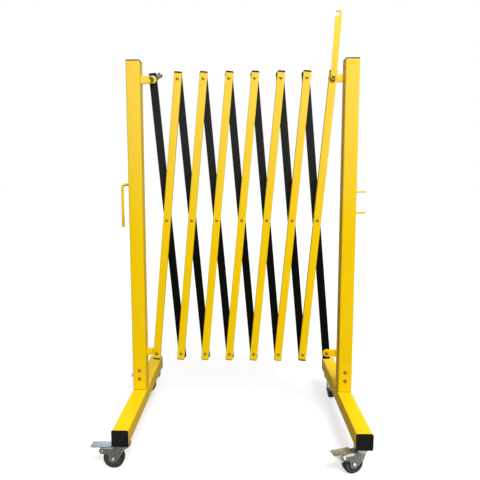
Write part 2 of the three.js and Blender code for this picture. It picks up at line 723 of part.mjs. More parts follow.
// Side of the pedal: it tapers down to a deep corner, or is a narrow lip with a lug round the pin
function pedalSide(deep) {
  const under = pedalTop - PEDAL_PLATE;
  const [pinX, pinZ] = [-PEDAL_PIN_BACK, pedalPinHeight];
  const heel = -FORK_WEB_LENGTH - SKIRT_HEEL_GAP;
  const r = SKIRT_LUG_RADIUS;
  const lower = deep
    ? [[-PEDAL_REACH, under], [pinX - SKIRT_BACK, pinZ - SKIRT_DROP], [pinX, pinZ - SKIRT_FRONT_DROP]]
    : [
      [-PEDAL_REACH, under],
      [SKIRT_LIP - PEDAL_REACH, under - SKIRT_LIP],
      [pinX - r, under - SKIRT_LIP],
      [pinX - r, pinZ - r / 2],
      [pinX - r / 2, pinZ - r],
      [pinX, pinZ - r],
    ];
  return polygon([
    [heel, pedalTop - PEDAL_PLATE / 2],
    [-PEDAL_REACH, pedalTop - PEDAL_PLATE / 2],
    ...lower,
    [heel, under - SKIRT_HEEL_DEPTH],
  ]);
}

// Brake pedal: a tread over the fork, two skirts inside it, the pin with its heads, and the brake tongue
function brakePedal(deep) {
  const [pinX, pinZ] = [-PEDAL_PIN_BACK, pedalPinHeight];
  const tread = block([-PEDAL_REACH, -pedalHalf, pedalTop - PEDAL_PLATE], [-PEDAL_HEEL, pedalHalf, pedalTop]);
  const skirts = [[-skirtOuter, -skirtInner], [skirtInner, skirtOuter]].map(([a, b]) =>
    plate(pedalSide(deep), a, b),
  );
  const headSeat = forkOuter + SEAT_GAP;
  const pinEnd = headSeat + PEDAL_PIN_HEAD;
  const pin = turned([
    [0, -pinEnd],
    [PEDAL_PIN_HEAD_RADIUS, -pinEnd],
    [PEDAL_PIN_HEAD_RADIUS, -headSeat],
    [PEDAL_PIN_RADIUS, -headSeat],
    [PEDAL_PIN_RADIUS, headSeat],
    [PEDAL_PIN_HEAD_RADIUS, headSeat],
    [PEDAL_PIN_HEAD_RADIUS, pinEnd],
    [0, pinEnd],
  ], [pinX, pinZ], RIVET_SIDES);
  const t = TONGUE_THICKNESS / 2;
  const toAxle = Math.atan2(pinZ - WHEEL_RADIUS, PEDAL_PIN_BACK - CASTER_TRAIL);
  const lean = THREE.MathUtils.radToDeg(toAxle) + TONGUE_LEAN;
  const width = skirtInner + PEDAL_FLANGE / 2;
  const tongue = block([0, -width, -t], [TONGUE_LENGTH, width, t]).rotate([0, lean, 0]);
  return joined([tread, ...skirts, pin, tongue.translate([pinX, 0, pinZ])]);
}

// The barrier, frame by frame
const barrier = new THREE.Group();

for (const [name, side] of [["left", -1], ["right", 1]]) {
  barrier.add(part(`post_${name}`, post(side), YELLOW));
  barrier.add(part(`post_cap_${name}`, postCap(side), BLACK_PLASTIC));
  barrier.add(part(`foot_${name}`, foot(side), YELLOW));
  barrier.add(part(`foot_plug_front_${name}`, footPlug(side, -1), BLACK_PLASTIC));
  barrier.add(part(`foot_plug_rear_${name}`, footPlug(side, 1), BLACK_PLASTIC));
  barrier.add(part(`lower_slider_${name}`, lowerSlider(side), YELLOW));
  for (const [place, height] of Object.entries(postBoltHeights())) {
    barrier.add(part(`post_bolt_${place}_${name}`, postBolt(side, height), STEEL));
  }
}

// Lattice bars, each in a group that leans it about its lower pivot
for (let i = 0; i < CELLS; i += 1) {
  const yellow = new THREE.Group();
  yellow.position.set(pivotX(i), 0, restLowerPivot);
  yellow.rotation.y = restAngle;
  yellow.add(part(`yellow_bar_${i + 1}`, yellowBar(i), YELLOW));
  const black = new THREE.Group();
  black.position.set(pivotX(i + 1), 0, restLowerPivot);
  black.rotation.y = -restAngle;
  black.add(part(`black_bar_${i + 1}`, blackBar(i), BLACK_PAINT));
  barrier.add(yellow, black);
}

// Pivot bolts, latch and clamp lever
function placed(mesh, x, z, lean = 0) {
  mesh.position.set(x, 0, z);
  mesh.rotation.y = lean;
  barrier.add(mesh);
}

const plainHeadSeat = yellowFront - SEAT_GAP;
placed(part("latch_stud", latchStud(), STEEL), pivotX(0), upperPivotHeight);
placed(
  part("pivot_bolt_upper_right", pivotBolt(strapFront - SEAT_GAP, tabBack, upperRightSpacer), STEEL),
  pivotX(CELLS),
  upperPivotHeight,
);
placed(part("pivot_bolt_lower_left", pivotBolt(plainHeadSeat, tabBack), STEEL), pivotX(0), restLowerPivot);
placed(
  part("pivot_bolt_lower_right", pivotBolt(tabFront, blackBack + SEAT_GAP), STEEL),
  pivotX(CELLS),
  restLowerPivot,
);
const lever = part("clamp_lever", clampLever(), ZINC);
placed(lever, pivotX(0), upperPivotHeight);
lever.position.y = leverSeat;
placed(
  part("latch_strap", latchStrap(), YELLOW),
  pivotX(CELLS),
  upperPivotHeight,
  radians(STRAP_TILT),
);

// Link hook and eyes
barrier.add(part("link_hook", linkHook(), YELLOW));
barrier.add(part("link_eye_upper", linkEye(EYE_HEIGHT), YELLOW));
barrier.add(part("link_eye_lower", linkEye(EYE_HEIGHT - EYE_SPACING), YELLOW));

// Casters, each turned about its kingpin
for (const { end, side, turn, bulged } of CASTERS) {
  const name = `${end}_${side}`;
  const caster = new THREE.Group();
  caster.position.set(side === "left" ? -postX : postX, end === "front" ? -casterY : casterY, 0);
  caster.rotation.z = radians(turn);
  caster.add(
    part(`caster_kingpin_${name}`, casterKingpin(), STEEL),
    part(`caster_fork_${name}`, casterFork(bulged), ZINC),
    part(`caster_wheel_${name}`, casterWheel(), TREAD),
    part(`caster_axle_${name}`, casterAxle(), STEEL),
    part(`brake_pedal_${name}`, brakePedal(bulged), ZINC),
  );
  barrier.add(caster);
}

// The origin goes midway between the pedals' reach on the left and the link eyes' on the right
const eyeReach = POST_SIDE / 2 + LINK_OFFSET + EYE_EDGE_RADIUS;
barrier.position.x = (PEDAL_REACH - eyeReach) / 2;

export default barrier;
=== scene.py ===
import json
import math

import bmesh
import bpy
from mathutils import Matrix, Vector

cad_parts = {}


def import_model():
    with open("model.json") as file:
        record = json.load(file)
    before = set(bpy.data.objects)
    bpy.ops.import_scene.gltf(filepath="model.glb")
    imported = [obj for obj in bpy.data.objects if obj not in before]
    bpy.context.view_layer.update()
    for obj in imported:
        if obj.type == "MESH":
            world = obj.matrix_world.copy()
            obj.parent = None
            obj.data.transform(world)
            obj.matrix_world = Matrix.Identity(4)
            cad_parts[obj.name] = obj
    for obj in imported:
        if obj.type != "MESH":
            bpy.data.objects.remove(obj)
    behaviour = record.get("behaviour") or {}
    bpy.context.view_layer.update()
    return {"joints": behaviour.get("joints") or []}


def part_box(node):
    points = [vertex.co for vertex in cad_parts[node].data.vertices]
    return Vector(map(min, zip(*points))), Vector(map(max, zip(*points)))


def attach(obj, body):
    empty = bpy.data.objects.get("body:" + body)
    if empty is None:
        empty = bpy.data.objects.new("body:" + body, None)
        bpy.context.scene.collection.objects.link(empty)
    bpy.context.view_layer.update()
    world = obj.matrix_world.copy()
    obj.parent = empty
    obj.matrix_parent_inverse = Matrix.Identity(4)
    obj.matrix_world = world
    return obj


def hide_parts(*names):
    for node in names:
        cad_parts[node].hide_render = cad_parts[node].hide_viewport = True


# Looks of an expandable safety barrier: yellow and black scissor bars between two posts on casters.
# Sizes are millimetres unless a comment says otherwise, and MM turns them into the frame's metres.
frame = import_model()
MM = 0.001
JOINTS = {joint["name"]: joint for joint in frame["joints"]}

# Camera, fitted to the photograph, its turns in radians
CAMERA_PLACE = (19.5, -1333.6, 739.9)
CAMERA_YAW = 0.02985
CAMERA_PITCH = 0.1046
CAMERA_ROLL = -0.001884
CAMERA_LENS = 34.29
CAMERA_SENSOR = 36
IMAGE_SIDE = 480
AXIS_LEFT_PX = 10.6
AXIS_UP_PX = 10.0

# Light and floor, their sizes and places in metres
WORLD_LIGHT = 0.25
SUN_SOFTNESS = math.radians(30)
KEY_STRENGTH = 2.16
KEY_FROM = (0.15, -0.6, 0.79)
FILL_STRENGTH = 1.1
FILL_FROM = (0.0, 0.85, 0.53)
SOFTBOX_WATTS = 62
SOFTBOX_SIZE = 1.2
SOFTBOX_PLACE = (0.9, -2.0, 2.9)
SOFTBOX_AIM = (0.0, 0.0, 0.6)
FLOOR_SIZE = 60
FLOOR_SEEN = 0.42
FLOOR_GLOW = 0.62
FLOOR_BOUNCE = 0.14
FLOOR_ROUGHNESS = 0.9
FLOOR_SHINE = 0.1

# Textures of the materials
NOISE_DETAIL = 3.0
NOISE_ROUGHNESS = 0.55
GRAIN_DETAIL = 2.0
TONE_PLACES = (0.3, 0.7)
ROUGHNESS_FINENESS = 5

# Angles in degrees past which an edge stays sharp
EDGE = 35
ROUNDED_EDGE = 50
PRESSED_EDGE = 40
CAST_EDGE = 30
THREAD_EDGE = 20

# Small sizes that many pieces share, and the end of a rod as (width, rise) shares of its radius
SEAT = 0.3
LEAST_ROUND = 0.2
LEAST_INNER_ROUND = 0.3
TUBE_EASE = 0.25
ROD_BACK = 0.35
ROD_END_SHARES = ((0.9, 0.16), (0.68, 0.28), (0.35, 0.35))

# Bars, a plug's rounded end as (width, corner left) shares
CELLS = 7
BAR_WIDTH = 22
BAR_DEPTH = 12
BAR_ROUND = 2.2
BAR_WALL = 1.5
BAR_END = 19.5
BAR_PLUG = 4.5
SUNK_PLUG = 1.8
PLUG_CORNER = 2.6
PLUG_SHARES = ((1.0, 1.0), (0.975, 0.55), (0.92, 0.2), (0.86, 0.0))
PLUG_SKIRT = 9
PLUG_SKIRT_ROUND = 0.8
LATTICE_GAP = 6

# Painted sheen: the black paint greys between two places along its bar; painted light: the yellow pales
# between two heights, as on the lit upper parts
SHEEN_LOW = 300
SHEEN_HIGH = 620
TOP_LIGHT_LOW = 615
TOP_LIGHT_HIGH = 960

# Fasteners
DOME_LIP_SHARE = 0.22
DOME_FOOT_SHARE = 0.3
DOME_SEAT_SHARE = 0.94
DOME_STEPS = 6
RIVET_SHANK = 2.6
RIVET_HEAD = 4.3
RIVET_RISE = 2.6
COLLAR = 8
COLLAR_EDGE = 0.4
PIVOT_SHANK = 3
PIVOT_HEAD = 5.3
PIVOT_RISE = 3
SPACER = 5.8
NUT_FLAT = 4.8
NUT_HEIGHT = 4
NUT_SHORT = 0.4
NUT_EDGE = 0.5
NUT_SIDES = 36
STUD_SLEEVE = 4
STUD_HEAD = 5.6
STUD_GAP = 0.5
THREAD_PITCH = 1.0
THREAD_CREST_SHARE = 0.35
THREAD_ROOT_SHARE = 0.85
THREAD_START = 0.3
THREAD_DEPTH = 0.35
THREAD_END = 0.4
BOLT_HEAD = 5.2
BOLT_RISE = 3

# Posts and feet, a cap's rounded edge as (inset, share of its plate)
POST_SIDE = 40
POST_ROUND = 3.6
POST_WALL = 1.5
POST_EASE = 0.9
# Painted shade at the post's foot: the height of the darker band, the rise over which it fades, and a margin
FOOT_SHADE_BAND = 1.6
FOOT_SHADE_FADE = 1
FOOT_SHADE_MARGIN = 0.1
FOOT_SIDE = 42
FOOT_ROUND = 4.2
FOOT_WALL = 2
STUB_ROUND = 2
STUB_SINK = 0.2
CAP_PLATE = 3
CAP_EDGE = 0.35
CAP_SHARES = ((0.0, 0.55), (0.3, 0.8), (0.9, 0.95), (1.8, 1.0))
CAP_LEAST_ROUND = 0.8
CAP_SKIRT_ROUND = 1.5
PLUG_PROUD = 0.7
TAB_THICKNESS = 5
TAB_HEIGHT = 22
TAB_REACH = 33
TAB_EDGE = 0.7
SHOE_WALL = 3
SHOE_ROUND = 2
SHOE_EASE = 0.8
SLOT_HALF = 2.9
SLOT_END_GAP = 0.8
SLOT_CUT = 9
SLOT_ROUND = 0.6
SLOT_EASE = 0.4
OPEN_ANGLE = math.radians(38)

# Weld beads, their waves as shares of their radius
WELD_SIDES = 10
WELD_RIPPLE = 2.4
TAB_WELD = 0.9
TAB_WELD_WAVE = 0.12
TAB_WELD_OUT = 0.27
TAB_WELD_SPREAD = 0.54
TAB_WELD_ROUND = 1.8
LINK_WELD_WAVE = 0.08
LINK_WELD_OUT = 0.3
HOOK_WELD = 1.1
HOOK_WELD_RING = 4.2
EYE_WELD = 1.0
EYE_WELD_ROUND = 1.4

# Latch strap
STRAP_WIDTH = 17
STRAP_THICKNESS = 3
STRAP_TILT = math.radians(3.6)
STRAP_PASSING = 1.2
STRAP_CORNER = 2
STRAP_EDGE = 0.45
NOTCH_RADIUS = 5.5
NOTCH_DEPTH = 12
STRAP_TIP = 4.5
FOLDED_CELL = 23.85

# Clamp lever, its dish as (inset, depth), its hub as (radius, rise) and its ribs as (place, depth)
LEVER_TURN = math.radians(45)
LEVER_ROOT = 3.6
LEVER_REACH = 23.5
LEVER_PAD = 7.5
LEVER_NECK = 4.5
LEVER_STAND = 5
LEVER_THICKNESS = 5
LEVER_DISH = ((2.9, 1.6), (1.7, 1.12), (1.19, 0), (0.5, 0), (0, 0.6))
LEVER_HUB = ((3.3, 0), (7.4, 0), (8, 0.6), (8, 1.6), (6.9, 10.2), (6.2, 11), (3.3, 11))
LEVER_RIB = 1.9
LEVER_RIB_PATH = ((5.5, 0.4), (LEVER_REACH - LEVER_PAD, 0.2), (LEVER_REACH, 0.2), (30, 1))

# Link hook and eyes
LINK_OFFSET = 22
HOOK_ROD = 4
HOOK_BEND = 9
HOOK_DROP = 125
EYE_THICKNESS = 5
EYE_EDGE = 9
EYE_HOLE = 5
EYE_BEVEL = 0.7

# Caster wheels: the hub's face as (radius, half width), the rim's as (inset from the rim, half width)
HUB_FACE = ((4.3, 9), (7.4, 9), (8, 8.4), (8.4, 6.2), (10, 5.6))
RIM_FACE = ((3, 5.5), (1.8, 6.2), (1.2, 7.9), (0.6, 8.3), (0, 8.3))
WHEEL_WIDTH = 17
TYRE_DEPTH = 4.8
TYRE_ROUND = 2.8

# Caster forks
FORK_INNER = 9.25
FORK_PLATE = 2.5
FORK_HALF = FORK_INNER + FORK_PLATE
FORK_SEAT = FORK_HALF + SEAT
FORK_WEB_BACK = 34
FORK_FRONT = 8
BULGE_FRONT = 13
BULGE_REACH = 12
BULGE_RISE = 9
BULGE_STEPS = 8
FORK_EAR = 8
FORK_NOTCH = 10
FORK_END = 11.5
FORK_END_ANGLE = 35
FORK_ROUND = 2.4
FORK_BLANK_BACK = 65
FORK_BLANK_FRONT = 3
FORK_BLANK_LOW = 5
FORK_CUT_OVER = 5
FORK_CUT_LIP = 0.02
FORK_CUT_HALF = 20
WEB_CUT_BACK = 70
WEB_CUT_LOW = 11
WEB_CUT_HIGH = 14
CREASE = -12
CREASE_HALF = 1.2
CREASE_LEAN = math.radians(7)
WRAP_START = -6.5
WRAP = -3
WRAP_END = 5.5
WRAP_STATIONS = (-0.5, 1.5, 3.5)
WRAP_RADIUS = 16
BULGE_WRAP_RADIUS = 30

# Painted highlight on a fork: along its top bend behind the swivel head, then on its front as (place, share)
BRIGHT_BACK = -28
BRIGHT_FADE = 4
BRIGHT_ROW = 1
BRIGHT_MARGIN = 0.1
BRIGHT_SIDE = 0.4
BRIGHT_DROP = 0.6
BULGE_BRIGHT_DROP = 4
FORK_HIGHLIGHT_SHARES = ((CREASE - CREASE_HALF, 0), (CREASE, 0.14), (CREASE + CREASE_HALF, 0.02),
               (WRAP_START, 0.02), (WRAP, 0.14), (WRAP_END, 0.08))

# Swivel head, kingpin, axle and cross pin, their profiles as (radius, rise)
SWIVEL_HEIGHT = 12
SWIVEL_PROFILE = ((0, -14.5), (15.2, -14.5), (16.6, -14), (17.8, -12.4), (18.8, -10.2), (19.5, -8.4),
                  (20, -6.8), (20, -6), (19.4, -5.7), (19.4, -5.1), (20, -4.8), (20, -2.4), (19.4, -1),
                  (18.2, 0), (0, 0))
FLANGE_ROOM = 4
KINGPIN_FLANGE = 16
KINGPIN_EDGE = 0.6
KINGPIN_SHANK = 5
KINGPIN_STEM = 22
KINGPIN_HEAD = ((0, -2.6), (5, -2.5), (7.4, -1.6), (8, -0.5), (7.6, 0), (0, 0))
AXLE_DOME = 4.3
AXLE_RISE = 2.8
AXLE_SHANK = 4
AXLE_TIP = 3.4
AXLE_END = 2.8
AXLE_NUT_FLAT = 5.1
AXLE_NUT_HEIGHT = 2.6
WASHER_PROFILE = ((4.4, 0), (6.4, 0), (6.4, 0.5), (6, 0.9), (4.4, 0.6))
PIN_SHANK = 2
PIN_PROFILE = ((0, -1.5), (1.5, -1.5), (1.6, 0.8), (2, 1.2), (2.7, 1.1), (3.2, 0.6), (3.2, 0), (2, 0))

# Brake pedals, the tip of the tread as (run, inset) and the rest of it as (place, share of painted light)
PEDAL_PLATE = 2
PEDAL_FLANGE = 1.5
FLANGE_GAP = 0.1
FLANGE_SINK = 0.4
FLANGE_EDGE = 0.4
FLANGE_DROP = 2.2
FLANGE_TIP = 2.4
FLANGE_TAPER = 1
FLANGE_BACK = 9
FLANGE_BACK_TAPER = 0.4
TREAD_TIP = ((0, 1.6), (0.8, 0.5), (2.2, 0))
TREAD_TIP_THIN = 0.6
TREAD_FLAT = 0.1
TREAD_PAINTED_LIGHT = ((-74, 0.14), (-68, 0.32), (-62, 0.57), (-54, 0.8), (-52.4, 1.6), (-51, 0.92),
                (-44, 0.55), (-38, 0.6), (-30, 0.1))
SKIRT_ROOM = 0.5
SKIRT_EDGE = 0.3
SKIRT_SINK = 0.5
SKIRT_TIP = 1
SKIRT_TOE = 2
SKIRT_TOE_FRONT = 1.2
SKIRT_DROP = 12.5
SKIRT_BACK = 5
SKIRT_FRONT_DROP = 8
SKIRT_LIP = 3
SKIRT_LUG = 7.5
SKIRT_HEEL = 36
SKIRT_HEEL_DEPTH = 5
TONGUE_PLATE = 1.5
TONGUE_ROUND = 0.4
TONGUE_EASE = 0.3
TONGUE_LENGTH = 8.1
TONGUE_LEAN = math.radians(30)


# Materials

def node_material(name):
    material = bpy.data.materials.new(name)
    material.use_nodes = True
    tree = material.node_tree
    return material, tree, tree.nodes["Principled BSDF"]


def add(tree, kind, **values):
    node = tree.nodes.new(kind)
    for key, value in values.items():
        if hasattr(node, key):
            setattr(node, key, value)
        else:
            node.inputs[key.replace("_", " ")].default_value = value
    return node


def noise(tree, scale, detail=NOISE_DETAIL):
    coords = add(tree, "ShaderNodeTexCoord")
    made = add(tree, "ShaderNodeTexNoise", Scale=scale, Detail=detail, Roughness=NOISE_ROUGHNESS)
    tree.links.new(coords.outputs["Object"], made.inputs["Vector"])
    return made.outputs["Fac"]


def ramp(tree, source, stops):
    made = tree.nodes.new("ShaderNodeValToRGB")
    tree.links.new(source, made.inputs["Fac"])
    for element, (stop, color) in zip(made.color_ramp.elements, stops):
        element.position = stop
        element.color = (*color, 1)
    return made.outputs["Color"]


def spread(tree, source, low, high):
    made = add(tree, "ShaderNodeMapRange", To_Min=low, To_Max=high)
    tree.links.new(source, made.inputs["Value"])
    return made.outputs["Result"]


def bumped(tree, shader, source, strength, distance):
    made = add(tree, "ShaderNodeBump", Strength=strength, Distance=distance)
    tree.links.new(source, made.inputs["Height"])
    tree.links.new(made.outputs["Normal"], shader.inputs["Normal"])


def toned(color, factor):
    return tuple(min(1.0, channel * factor) for channel in color)


# Painted light and shade: where a mesh carries one of the two shares, the surface turns by it to a second
# colour that stands in for light, shade or sheen falling on that place
def surface(name, color, roughness, metallic=0.0, shine=0.5, blotch=6.0, tone=0.06,
            grain=(900, 0.12, 0.00012), painted_lighting=None, painted_top_light=None):
    material, tree, shader = node_material(name)
    tones = (toned(color, 1 - tone), toned(color, 1 + tone / 2))
    base = ramp(tree, noise(tree, blotch), zip(TONE_PLACES, tones))
    for attribute, second in (("painted_top_light", painted_top_light), ("painted_light_share", painted_lighting)):
        if second:
            share = add(tree, "ShaderNodeAttribute", attribute_name=attribute)
            mixed = add(tree, "ShaderNodeMixRGB", Color2=(*second, 1))
            tree.links.new(share.outputs["Fac"], mixed.inputs["Fac"])
            tree.links.new(base, mixed.inputs["Color1"])
            base = mixed.outputs["Color"]
    tree.links.new(base, shader.inputs["Base Color"])
    shader.inputs["Metallic"].default_value = metallic
    shader.inputs["Specular IOR Level"].default_value = shine
    rough = spread(tree, noise(tree, blotch * ROUGHNESS_FINENESS), *roughness)
    tree.links.new(rough, shader.inputs["Roughness"])
    scale, strength, distance = grain
    bumped(tree, shader, noise(tree, scale, GRAIN_DETAIL), strength, distance)
    return material


PLATED = {"metallic": 0.8, "blotch": 90, "tone": 0.16}
PRESSED = {"metallic": 0.85, "blotch": 70, "tone": 0.14}
POLISHED = {"metallic": 1.0, "blotch": 160, "tone": 0.12}
# Yellow: its paler colour is painted light on the upper parts, its darker second colour painted shade at the
# posts' feet
YELLOW = surface("yellow_powder_coat", (0.90, 0.585, 0.0035), (0.42, 0.54), shine=0.025, tone=0.04,
                 grain=(700, 0.16, 0.00012), painted_lighting=(0.46, 0.24, 0.004), painted_top_light=(0.90, 0.62, 0.062))
# Black: its grey second colour is a painted sheen on the bars
BLACK = surface("black_powder_coat", (0.0021, 0.002, 0.0011), (0.4, 0.56), shine=0.03, tone=0.2,
                painted_lighting=(0.0188, 0.0192, 0.0184))
PLASTIC = surface("black_plastic", (0.0066, 0.0068, 0.0056), (0.45, 0.62), shine=0.08, tone=0.25,
                  grain=(2600, 0.25, 0.00010))
ZINC = surface("zinc_plate", (0.15, 0.155, 0.14), (0.3, 0.48), **PLATED)
# Fork zinc: a darker copy for the left casters and a lighter one for the right, painted shade and light;
# their second colour is a painted highlight
SHADED_FORK_ZINC = surface("fork_zinc_painted_shade", (0.108, 0.118, 0.1), (0.3, 0.48), painted_lighting=(0.36, 0.37, 0.36), **PLATED)
LIT_FORK_ZINC = surface("fork_zinc_painted_light", (0.16, 0.165, 0.15), (0.3, 0.48), painted_lighting=(0.62, 0.62, 0.60), **PLATED)
# Lighter zinc standing for light on the lever's rib, the right swivel heads and the left axles: painted light
LIT_ZINC = surface("zinc_painted_light", (0.42, 0.43, 0.42), (0.22, 0.4), metallic=1.0, blotch=90,
                      tone=0.16)
# Pedal treads: their lighter second colour is painted light along the tread
BLUE_ZINC = surface("blue_zinc_plate", (0.16, 0.21, 0.235), (0.3, 0.46), painted_lighting=(0.185, 0.235, 0.26), **PRESSED)
WARM_ZINC = surface("warm_zinc_plate", (0.112, 0.114, 0.085), (0.28, 0.44), painted_lighting=(0.27, 0.275, 0.21),
                    **PRESSED)
# Near-white zinc for the left pedal skirts: painted light
LIT_SKIRT_ZINC = surface("skirt_zinc_painted_light", (0.70, 0.72, 0.74), (0.26, 0.4), metallic=0.85, blotch=70, tone=0.1)
FLANK_ZINC = surface("flank_zinc_plate", (0.52, 0.52, 0.50), (0.26, 0.42), **PRESSED)
# Near-white polish for the right casters' axles and pins: polish and painted highlight
POLISH_AND_HIGHLIGHT = surface("polish_and_painted_highlight", (0.80, 0.80, 0.79), (0.14, 0.24), metallic=1.0, blotch=160, tone=0.08)
STEEL = surface("polished_steel", (0.30, 0.30, 0.29), (0.2, 0.32), **POLISHED)
RIVET = surface("warm_steel", (0.25, 0.178, 0.04), (0.2, 0.3), **POLISHED)
STUD = surface("dark_steel", (0.12, 0.10, 0.085), (0.16, 0.26), **POLISHED)
CORE = surface("wheel_core", (0.042, 0.045, 0.030), (0.4, 0.58), shine=0.25, tone=0.15,
               grain=(1500, 0.2, 0.00012))
TREAD = surface("wheel_tread", (0.009, 0.0095, 0.006), (0.55, 0.75), shine=0.2, tone=0.2,
                grain=(1300, 0.35, 0.0002))


# Mesh helpers

def linked(name, data):
    made = bpy.data.objects.new(name, data)
    bpy.context.scene.collection.objects.link(made)
    return made


def piece(name, mesh, material, body, stands_for=(), matrix=None, sharp=EDGE):
    made = linked(name, mesh)
    if matrix is not None:
        mesh.transform(matrix)
    mesh.transform(Matrix.Diagonal((MM, MM, MM, 1)))
    mesh.materials.clear()
    mesh.materials.append(material)
    mesh.polygons.foreach_set("use_smooth", [True] * len(mesh.polygons))
    mesh.set_sharp_from_angle(angle=math.radians(sharp))
    mesh.update()
    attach(made, body)
    if stands_for:
        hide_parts(*stands_for)
    return made


def to_mesh(bm):
    bmesh.ops.recalc_face_normals(bm, faces=bm.faces)
    mesh = bpy.data.meshes.new("mesh")
    bm.to_mesh(mesh)
    bm.free()
    return mesh


def merged(meshes):
    bm = bmesh.new()
    for mesh in meshes:
        bm.from_mesh(mesh)
        bpy.data.meshes.remove(mesh)
    return to_mesh(bm)


def place(x, y, z, turn=0.0, axis="Y"):
    return Matrix.Translation((x, y, z)) @ Matrix.Rotation(turn, 4, axis)


def moved(mesh, matrix):
    mesh.transform(matrix)
    return mesh


# Share of a painted-light colour at each vertex, from its place in the mesh's own frame
def with_painted_light(mesh, share_at, name="painted_light_share"):
    shares = mesh.attributes.new(name, "FLOAT", "POINT")
    shares.data.foreach_set("value", [share_at(vertex.co) for vertex in mesh.vertices])
    return mesh


# Share that grows from nothing at one height to all at another
def faded(mesh, low, high, name):
    return with_painted_light(mesh, lambda co: min(max((co.z - low) / (high - low), 0.0), 1.0), name)


# Rings of points joined into a skin, closed at both ends unless it joins up with itself
def skin(rings, closed_loop=False):
    bm = bmesh.new()
    rows = [[bm.verts.new(point) for point in ring] for ring in rings]
    count = len(rows[0])
    pairs = list(zip(rows, rows[1:]))
    if closed_loop:
        pairs.append((rows[-1], rows[0]))
    for low, high in pairs:
        for i in range(count):
            j = (i + 1) % count
            bm.faces.new((low[i], low[j], high[j], high[i]))
    if not closed_loop:
        bm.faces.new(rows[0][::-1])
        bm.faces.new(rows[-1])
    return to_mesh(bm)


# Turned piece about Y from (radius, place) points; a radius of zero ends it on the axis
def turned(profile, sides=32, centre=(0, 0)):
    bm = bmesh.new()
    rows = []
    for radius, along in profile:
        angles = [2 * math.pi * i / sides for i in range(sides if radius else 1)]
        rows.append([bm.verts.new((centre[0] + radius * math.cos(angle), along,
                                   centre[1] + radius * math.sin(angle))) for angle in angles])
    loops = list(zip(rows, rows[1:]))
    if profile[0][0] > 0:
        loops.append((rows[-1], rows[0]))
    for low, high in loops:
        for i in range(sides):
            j = (i + 1) % sides
            if len(low) == 1:
                bm.faces.new((low[0], high[j], high[i]))
            elif len(high) == 1:
                bm.faces.new((low[i], low[j], high[0]))
            else:
                bm.faces.new((low[i], low[j], high[j], high[i]))
    return to_mesh(bm)


UPRIGHT = Matrix.Rotation(math.radians(90), 4, "X")


# Points along an arc, its start and end in degrees
def arc(centre, radius, start, end, steps):
    angles = [math.radians(start + (end - start) * i / steps) for i in range(steps + 1)]
    return [(centre[0] + radius * math.cos(a), centre[1] + radius * math.sin(a)) for a in angles]


def rounded_rectangle(width, height, radius, steps=5):
    w, h = width / 2 - radius, height / 2 - radius
    corners = [(w, -h, -90), (w, h, 0), (-w, h, 90), (-w, -h, 180)]
    return [point for x, y, start in corners for point in arc((x, y), radius, start, start + 90, steps)]


# Bar of rounded section along Z between two heights, its end edges eased by a small bevel
def bar_solid(width, depth, radius, low, high, ease):
    inner = rounded_rectangle(width - 2 * ease, depth - 2 * ease, max(radius - ease, LEAST_ROUND))
    outer = rounded_rectangle(width, depth, radius)
    sections = ((inner, low), (outer, low + ease), (outer, high - ease), (inner, high))
    return skin([[(x, y, z) for x, y in section] for section, z in sections])


# Open tube of rounded section along Z with a real wall, and extra rows of points where they are asked for
def tube(width, depth, radius, wall, low, high, ease=TUBE_EASE, steps=5, rows=()):
    outer = rounded_rectangle(width, depth, radius, steps)
    eased = rounded_rectangle(width - 2 * ease, depth - 2 * ease, max(radius - ease, LEAST_ROUND), steps)
    inner_round = max(radius - wall, LEAST_INNER_ROUND)
    inner = rounded_rectangle(width - 2 * wall, depth - 2 * wall, inner_round, steps)
    sections = [(eased, low), (outer, low + ease), *[(outer, row) for row in rows],
                (outer, high - ease), (eased, high), (inner, high), (inner, low)]
    return skin([[(x, y, z) for x, y in section] for section, z in sections], closed_loop=True)


# Flat plate in X and Z with rounded edges and holes, its thickness along Y between two places
def flat_plate(outline, holes, front, back, edge, bevel_steps=2):
    data = bpy.data.curves.new("plate", "CURVE")
    data.dimensions = "2D"
    data.fill_mode = "BOTH"
    data.extrude = (back - front) / 2 - edge
    data.bevel_depth = edge
    data.bevel_resolution = bevel_steps
    data.offset = -edge
    for points in [outline, *holes]:
        spline = data.splines.new("POLY")
        spline.points.add(len(points) - 1)
        for point, (x, z) in zip(spline.points, points):
            point.co = (x, z, 0, 1)
        spline.use_cyclic_u = True
    holder = linked("plate", data)
    bpy.context.view_layer.update()
    mesh = bpy.data.meshes.new_from_object(holder.evaluated_get(bpy.context.evaluated_depsgraph_get()))
    bpy.data.objects.remove(holder)
    bpy.data.curves.remove(data)
    mesh.transform(place(0, (front + back) / 2, 0) @ UPRIGHT)
    bm = bmesh.new()
    bm.from_mesh(mesh)
    bpy.data.meshes.remove(mesh)
    bmesh.ops.remove_doubles(bm, verts=bm.verts, dist=edge / 50)
    return to_mesh(bm)


def circle(centre, radius, steps=28):
    return arc(centre, radius, 0, 360, steps)[:-1]


# Round rod along a path of points, its far end domed
def rod(path, radius, sides=20):
    points = [Vector(point) for point in path]
    rings = []
    side = (points[1] - points[0]).normalized().orthogonal().normalized()
    for i, point in enumerate(points):
        ahead = (points[min(i + 1, len(points) - 1)] - points[max(i - 1, 0)]).normalized()
        side = (side - ahead * side.dot(ahead)).normalized()
        across = ahead.cross(side)
        rings.append([point + radius * (math.cos(t) * side + math.sin(t) * across)
                      for t in (2 * math.pi * k / sides for k in range(sides))])
    tip = points[-1]
    ahead = (tip - points[-2]).normalized()
    base = rings.pop()
    back = -ahead * radius * ROD_BACK
    rings.append([p + back for p in base])
    for share, rise in ROD_END_SHARES:
        rings.append([tip + back + (p - tip) * share + ahead * radius * rise for p in base])
    return skin(rings)


